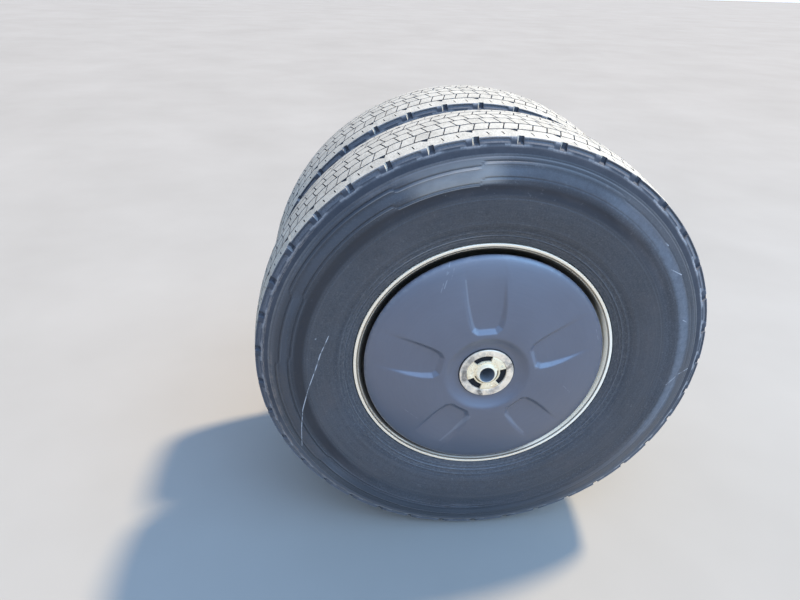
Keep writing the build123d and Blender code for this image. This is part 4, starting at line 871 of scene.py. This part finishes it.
def tread(name, centre_y, start, node, seed):
    rng = np.random.default_rng(seed)
    shells = Shells()
    dust = [shoulder(shells, centre_y, 1.0, start, rng), shoulder(shells, centre_y, -1.0, start + PITCH / 2, rng)]
    # floor of the grooves
    theta = np.arange(370) * 2 * math.pi / 370
    v = np.array([77.0, 62.0, 46.0, 30.0, 15.0, 0.0, -15.0, -30.0, -46.0, -62.0, -77.0])
    r = crown(v) - GROOVE
    v = np.concatenate([v, [-77.0, 0.0, 77.0]])
    r = np.concatenate([r, [506.5, 508.0, 506.5]])
    shells.ring(r[:, None] * np.ones((1, 370)), centre_y - v[:, None] * np.ones((1, 370)), theta[None, :] * np.ones((len(r), 1)))
    blocks(shells, centre_y, start, rng)
    dust = np.concatenate(dust + [np.zeros(shells.count - sum(len(d) for d in dust))])
    return shells.piece(name, TREAD, "wheel", (node,), sharp=32.0, values={"dust": dust})


casing("outer_tyre_casing", OUTER_Y, 1.0, MATERIALS["tyre_rubber"], "outer_tyre")
casing("inner_tyre_casing", INNER_Y, -1.0, SIDEWALL_INNER, "inner_tyre")
tread("outer_tyre_tread", OUTER_Y, 96.15, "outer_tyre", 11)
tread("inner_tyre_tread", INNER_Y, 98.0, "inner_tyre", 12)

# ------------------------------------------------------------------ wheel cover
DOME = [(30.0, -318.5), (66.0, -318.5), (70.0, -319.0), (86.0, -325.5), (92.0, -329.0), (97.0, -330.5), (122.0, -329.0), (150.0, -325.5),
        (180.0, -320.5), (210.0, -314.0), (238.0, -306.5), (262.0, -298.0), (270.0, -293.5), (273.6, -289.6)]
dome_of = pchip(*zip(*DOME))
POCKET_OUTLINE = [(114.5, 18.0), (121.0, 25.5), (140.0, 31.5), (165.0, 36.0), (195.0, 39.5), (220.0, 41.5), (240.0, 42.0)]
POCKET_DRAFT = math.tan(math.radians(50.0))


def pocket(r, theta):
    """Height of the pocket's floor and walls at each point, as if they went on past the dome."""
    t = np.degrees(theta) - 95.0
    t = (t + 36.0) % 72.0 - 36.0
    u, w = r * np.cos(np.radians(t)), np.abs(r * np.sin(np.radians(t)))
    away = POCKET_OUTLINE[0][0] - u
    for (u0, w0), (u1, w1) in zip(POCKET_OUTLINE, POCKET_OUTLINE[1:]):
        run = math.hypot(u1 - u0, w1 - w0)
        away = np.maximum(away, ((w - w0) * (u1 - u0) - (u - u0) * (w1 - w0)) / run)
    away = 0.5 * (away + np.sqrt(away * away + 1.0))
    return -320.9 + (u - 114.0) * math.tan(math.radians(5.6)) - away / POCKET_DRAFT, u


def cover(name):
    columns = 720
    theta = (np.arange(columns) + 0.5) * 2 * math.pi / columns
    r = np.concatenate([
        [30.0, 31.0, 45.0, 60.0, 64.0, 66.0, 68.0, 71.0, 74.0, 78.0, 82.0, 86.0, 89.0, 92.0, 94.0, 96.0, 98.0, 100.0],
        np.arange(101.2, 124.0, 1.2), np.arange(124.5, 225.0, 3.4), np.arange(226.5, 262.0, 3.0),
        [263.5, 266.0, 268.0, 270.0, 271.6, 272.8, 273.6]])
    radii = r[:, None] * np.ones((1, columns))
    # the dark seat's painted shadow reaches further out below the latch ring
    radii[4] = 63.5 - 1.1 * np.sin(theta) + 0.4 * np.cos(theta)
    radii[5] = 65.9 - 0.7 * np.sin(theta)
    dome = dome_of(radii.ravel()).reshape(radii.shape)
    sunk, u = pocket(r[:, None], theta[None, :])
    outer = 0.5 * (dome + sunk + np.sqrt((dome - sunk) ** 2 + 0.5 + 9.0 * smooth(u, 165.0, 225.0)))
    fade = (1 - smooth(dome - sunk, 5.0, 12.0)) * (r > 102.0)[:, None]
    outer = dome + (outer - dome) * fade
    edge_r = [274.2, 274.2, 273.0, 271.6]
    edge_s = [-288.4, -285.2, -284.2, -284.6]
    back = np.r_[np.arange(0, 18, 4), np.arange(18, len(r) - 4, 3), len(r) - 4][::-1]
    one = np.ones((1, columns))
    rr = np.vstack([radii, np.array(edge_r)[:, None] * one, r[back][:, None] * one])
    ss = np.vstack([outer, np.array(edge_s)[:, None] * one, outer[back] + 3.5])
    shells = Shells()
    # the innermost rows take the dark seat material, painted shadow round the latch ring
    seat = np.zeros(rr.shape, int)
    seat[0:4] = 1
    shells.ring(rr, WHEEL_Y + ss, theta[None, :] * np.ones_like(rr), seat)
    return shells.piece(name, [MATERIALS["cover_plastic"], MATERIALS["latch_seat"]], "wheel", ("wheel_cover",), sharp=50.0)


cover("cover_moulding")


# ------------------------------------------------------------------ latch at the cover's centre
def turned(shells, section, theta, centre=(0.0, 0.0)):
    """Closed section of (r, s) pairs carried round; each entry may be an array over theta."""
    one = np.ones_like(theta)
    r = np.vstack([q[0] * one for q in section])
    y = np.vstack([q[1] * one for q in section])
    shells.ring(r, WHEEL_Y + y, theta[None, :] * np.ones_like(r))


def latch():
    even = (np.arange(240) + 0.5) * 2 * math.pi / 240
    ring = Shells()
    dent = 0.12 * np.sin(even * 5.0) + 0.08 * np.sin(even * 11.0 + 1.0)
    turned(ring, [(45.2, -318.5), (45.2, -323.3), (45.6, -323.8), (46.3, -324.0), (50.0, -323.9 + dent * 0.6), (56.0, -323.9 + dent * 0.6),
                  (59.8, -324.0), (60.7, -323.7), (61.1, -323.0), (61.2, -318.5)], even)
    ring.piece("latch_ring_face", MATERIALS["latch_metal"], "wheel", ("latch_ring",), sharp=50.0)

    # three lobes between open slots
    slots = [(106.0, 30.5), (-15.0, 30.0), (228.5, 26.0)]
    marks = []
    for centre, half in slots:
        marks += [centre - half - 0.25, centre - half + 0.25, centre + half - 0.25, centre + half + 0.25]
    theta = np.unique(np.round(np.concatenate([np.mod(marks, 360.0), np.arange(1.5, 360.0, 3.0)]), 3))
    open_ = np.zeros(len(theta), bool)
    for centre, half in slots:
        open_ |= np.abs((theta - centre + 180.0) % 360.0 - 180.0) < half
    rim = np.where(open_, 30.6, 44.8)
    plate = Shells()
    turned(plate, [(28.2, -318.6), (28.2, -323.0), (28.7, -323.5), (29.3, -323.6), (rim * 0.5 + 14.5, -323.6), (rim - 0.6, -323.5),
                   (rim - 0.1, -323.0), (rim, -318.6)], np.radians(theta))
    plate.piece("latch_plate_face", MATERIALS["latch_plate"], "wheel", ("latch_plate",), sharp=50.0)

    # nose with a gap round the lower part of its foot
    gap = smooth(np.cos(even - math.radians(286.0)), -0.10, 0.25)
    nose = Shells()
    tall = np.sin(even) ** 2
    turned(nose, [(0.8, -287.5), (16.4, -288.0), (16.6 + 2.2 * tall, -329.6), (16.9 + 2.2 * tall, -330.3), (17.9 + 1.9 * tall, -330.7),
                  (19.4 + 1.4 * tall, -330.0), (21.8 + 0.6 * tall, -327.8),
                  (23.6, -324.6), (24.3, -323.6 + 2.8 * gap), (26.9, -323.6 + 2.8 * gap), (27.4, -323.6 + 0.2 * gap), (28.0, -323.4),
                  (28.0, -284.0), (0.8, -284.0)], even)
    nose.piece("latch_nose", MATERIALS["latch_plate"], "wheel", ("latch_core",), sharp=45.0)

    # rivet heads on the lobes
    small = (np.arange(24) + 0.5) * 2 * math.pi / 24
    heads = Shells()
    for at_r, at_deg, size in ((38.0, 25.5, 2.3), (36.6, 192.0, 2.6), (35.0, 165.0, 2.0), (25.8, 47.0, 2.6), (38.0, 292.0, 2.3)):
        cx, cz = at_r * math.cos(math.radians(at_deg)), at_r * math.sin(math.radians(at_deg))
        base = -323.5 if at_r > 28 else -325.0
        rows = [(0.3, base + 1.0), (size, base + 1.0), (size, base - 0.1), (size * 0.72, base - 0.8), (0.3, base - 1.05)]
        verts = np.array([[cx + q * math.cos(a), WHEEL_Y + y, cz + q * math.sin(a)] for q, y in rows for a in small]) * MM
        n, k = len(rows), len(small)
        quads = [(i * k + j, ((i + 1) % n) * k + j, ((i + 1) % n) * k + (j + 1) % k, i * k + (j + 1) % k) for i in range(n) for j in range(k)]
        heads.add(verts, quads)
    heads.piece("latch_rivets", MATERIALS["latch_plate"], "wheel", (), sharp=45.0)


latch()

# ------------------------------------------------------------------ floor, light, camera
floor_mat = Mat("floor_paint", Roughness=0.9, Specular_IOR_Level=0.2)
floor_mat.finish(floor_mat.ramp(floor_mat.noise(floor_mat.obj(), 0.9, 4.0, 0.6), (0.3, (0.292, 0.276, 0.242)), (0.7, (0.325, 0.308, 0.272))))
mesh = bpy.data.meshes.new("floor")
w = 60.0
mesh.from_pydata([(-w, -w, FLOOR_Z * MM), (w, -w, FLOOR_Z * MM), (w, w, FLOOR_Z * MM), (-w, w, FLOOR_Z * MM)], [], [(0, 1, 2, 3)])
floor = bpy.data.objects.new("floor", mesh)
bpy.context.scene.collection.objects.link(floor)
mesh.materials.append(floor_mat.m)

world = bpy.data.worlds.new("studio")
bpy.context.scene.world = world
world.use_nodes = True
wt = world.node_tree
background = wt.nodes["Background"]
direction = wt.nodes.new("ShaderNodeTexCoord").outputs["Generated"]
height = wt.nodes.new("ShaderNodeSeparateXYZ")
wt.links.new(direction, height.inputs[0])
sky = wt.nodes.new("ShaderNodeValToRGB")
for k, (at, colour) in enumerate([(0.0, (0.80, 0.92, 1.08)), (0.25, (0.62, 0.84, 1.20)), (1.0, (0.45, 0.71, 1.28))]):
    e = sky.color_ramp.elements
    while len(e) <= k:
        e.new(0.5)
    e[k].position = at
    e[k].color = (*colour, 1.0)
wt.links.new(height.outputs[2], sky.inputs[0])
wt.links.new(sky.outputs[0], background.inputs[0])
# the sky is brighter high in front of the covered face
rising = wt.nodes.new("ShaderNodeMapRange")
ahead = wt.nodes.new("ShaderNodeMapRange")
for n, out, lo, hi in ((rising, 2, 0.15, 0.75), (ahead, 1, -0.05, -0.60)):
    n.interpolation_type = "SMOOTHSTEP"
    n.inputs["From Min"].default_value, n.inputs["From Max"].default_value = lo, hi
    wt.links.new(height.outputs[out], n.inputs[0])
both = wt.nodes.new("ShaderNodeMath")
both.operation = "MULTIPLY"
wt.links.new(rising.outputs[0], both.inputs[0])
wt.links.new(ahead.outputs[0], both.inputs[1])
power = wt.nodes.new("ShaderNodeMath")
power.operation = "MULTIPLY_ADD"
wt.links.new(both.outputs[0], power.inputs[0])
power.inputs[1].default_value, power.inputs[2].default_value = 1.42, 0.93
# and dimmer on the left
left = wt.nodes.new("ShaderNodeMapRange")
left.interpolation_type = "SMOOTHSTEP"
for key, value in (("From Min", -0.80), ("From Max", 0.80), ("To Min", 0.78), ("To Max", 1.42)):
    left.inputs[key].default_value = value
wt.links.new(height.outputs[0], left.inputs[0])
total = wt.nodes.new("ShaderNodeMath")
total.operation = "MULTIPLY"
wt.links.new(power.outputs[0], total.inputs[0])
wt.links.new(left.outputs[0], total.inputs[1])
wt.links.new(total.outputs[0], background.inputs[1])


def light(kind, name, at, to, energy, colour, **props):
    data = bpy.data.lights.new(name, kind)
    data.energy = energy
    data.color = colour
    for key, value in props.items():
        setattr(data, key, value)
    obj = bpy.data.objects.new(name, data)
    bpy.context.scene.collection.objects.link(obj)
    obj.location = at
    direction = np.array(to, float) - np.array(at, float)
    from mathutils import Vector
    obj.rotation_mode = "QUATERNION"
    obj.rotation_quaternion = Vector(direction).to_track_quat("-Z", "Y")
    return obj


light("SUN", "key", (2.35, 1.2, 4.25), (0.0, 0.0, 0.0), 5.5, (1.0, 0.83, 0.61), angle=math.radians(6.0))
light("AREA", "high_fill", (3.0, -2.9, 3.8), (0.0, -0.95, 0.0), 118.0, (0.24, 0.57, 0.96), shape="RECTANGLE", size=4.5, size_y=3.5)
light("AREA", "front_fill", (-0.8, -4.2, 2.4), (0.0, -0.8, 0.0), 10.0, (0.88, 0.93, 1.0), shape="RECTANGLE", size=3.5, size_y=2.5)


def camera():
    yaw, pitch, roll = (math.radians(q) for q in (4.403, 28.276, 1.734))
    cy, sy, cp, sp, cr, sr = math.cos(yaw), math.sin(yaw), math.cos(pitch), math.sin(pitch), math.cos(roll), math.sin(roll)
    f = np.array([sy * cp, cy * cp, -sp])
    r = np.array([cy, -sy, 0.0])
    u = np.cross(r, f)
    right, up = cr * r + sr * u, -sr * r + cr * u
    data = bpy.data.cameras.new("camera")
    data.lens = 27.168
    data.sensor_width = 36.0
    data.clip_start, data.clip_end = 0.05, 300.0
    obj = bpy.data.objects.new("camera", data)
    bpy.context.scene.collection.objects.link(obj)
    m = Matrix.Identity(4)
    for k in range(3):
        m[k][0], m[k][1], m[k][2] = right[k], up[k], -f[k]
    m[0][3], m[1][3], m[2][3] = -0.2838, -2.0904, 0.7795
    obj.matrix_world = m
    bpy.context.scene.camera = obj


camera()
bpy.context.scene.view_settings.view_transform = "Standard"
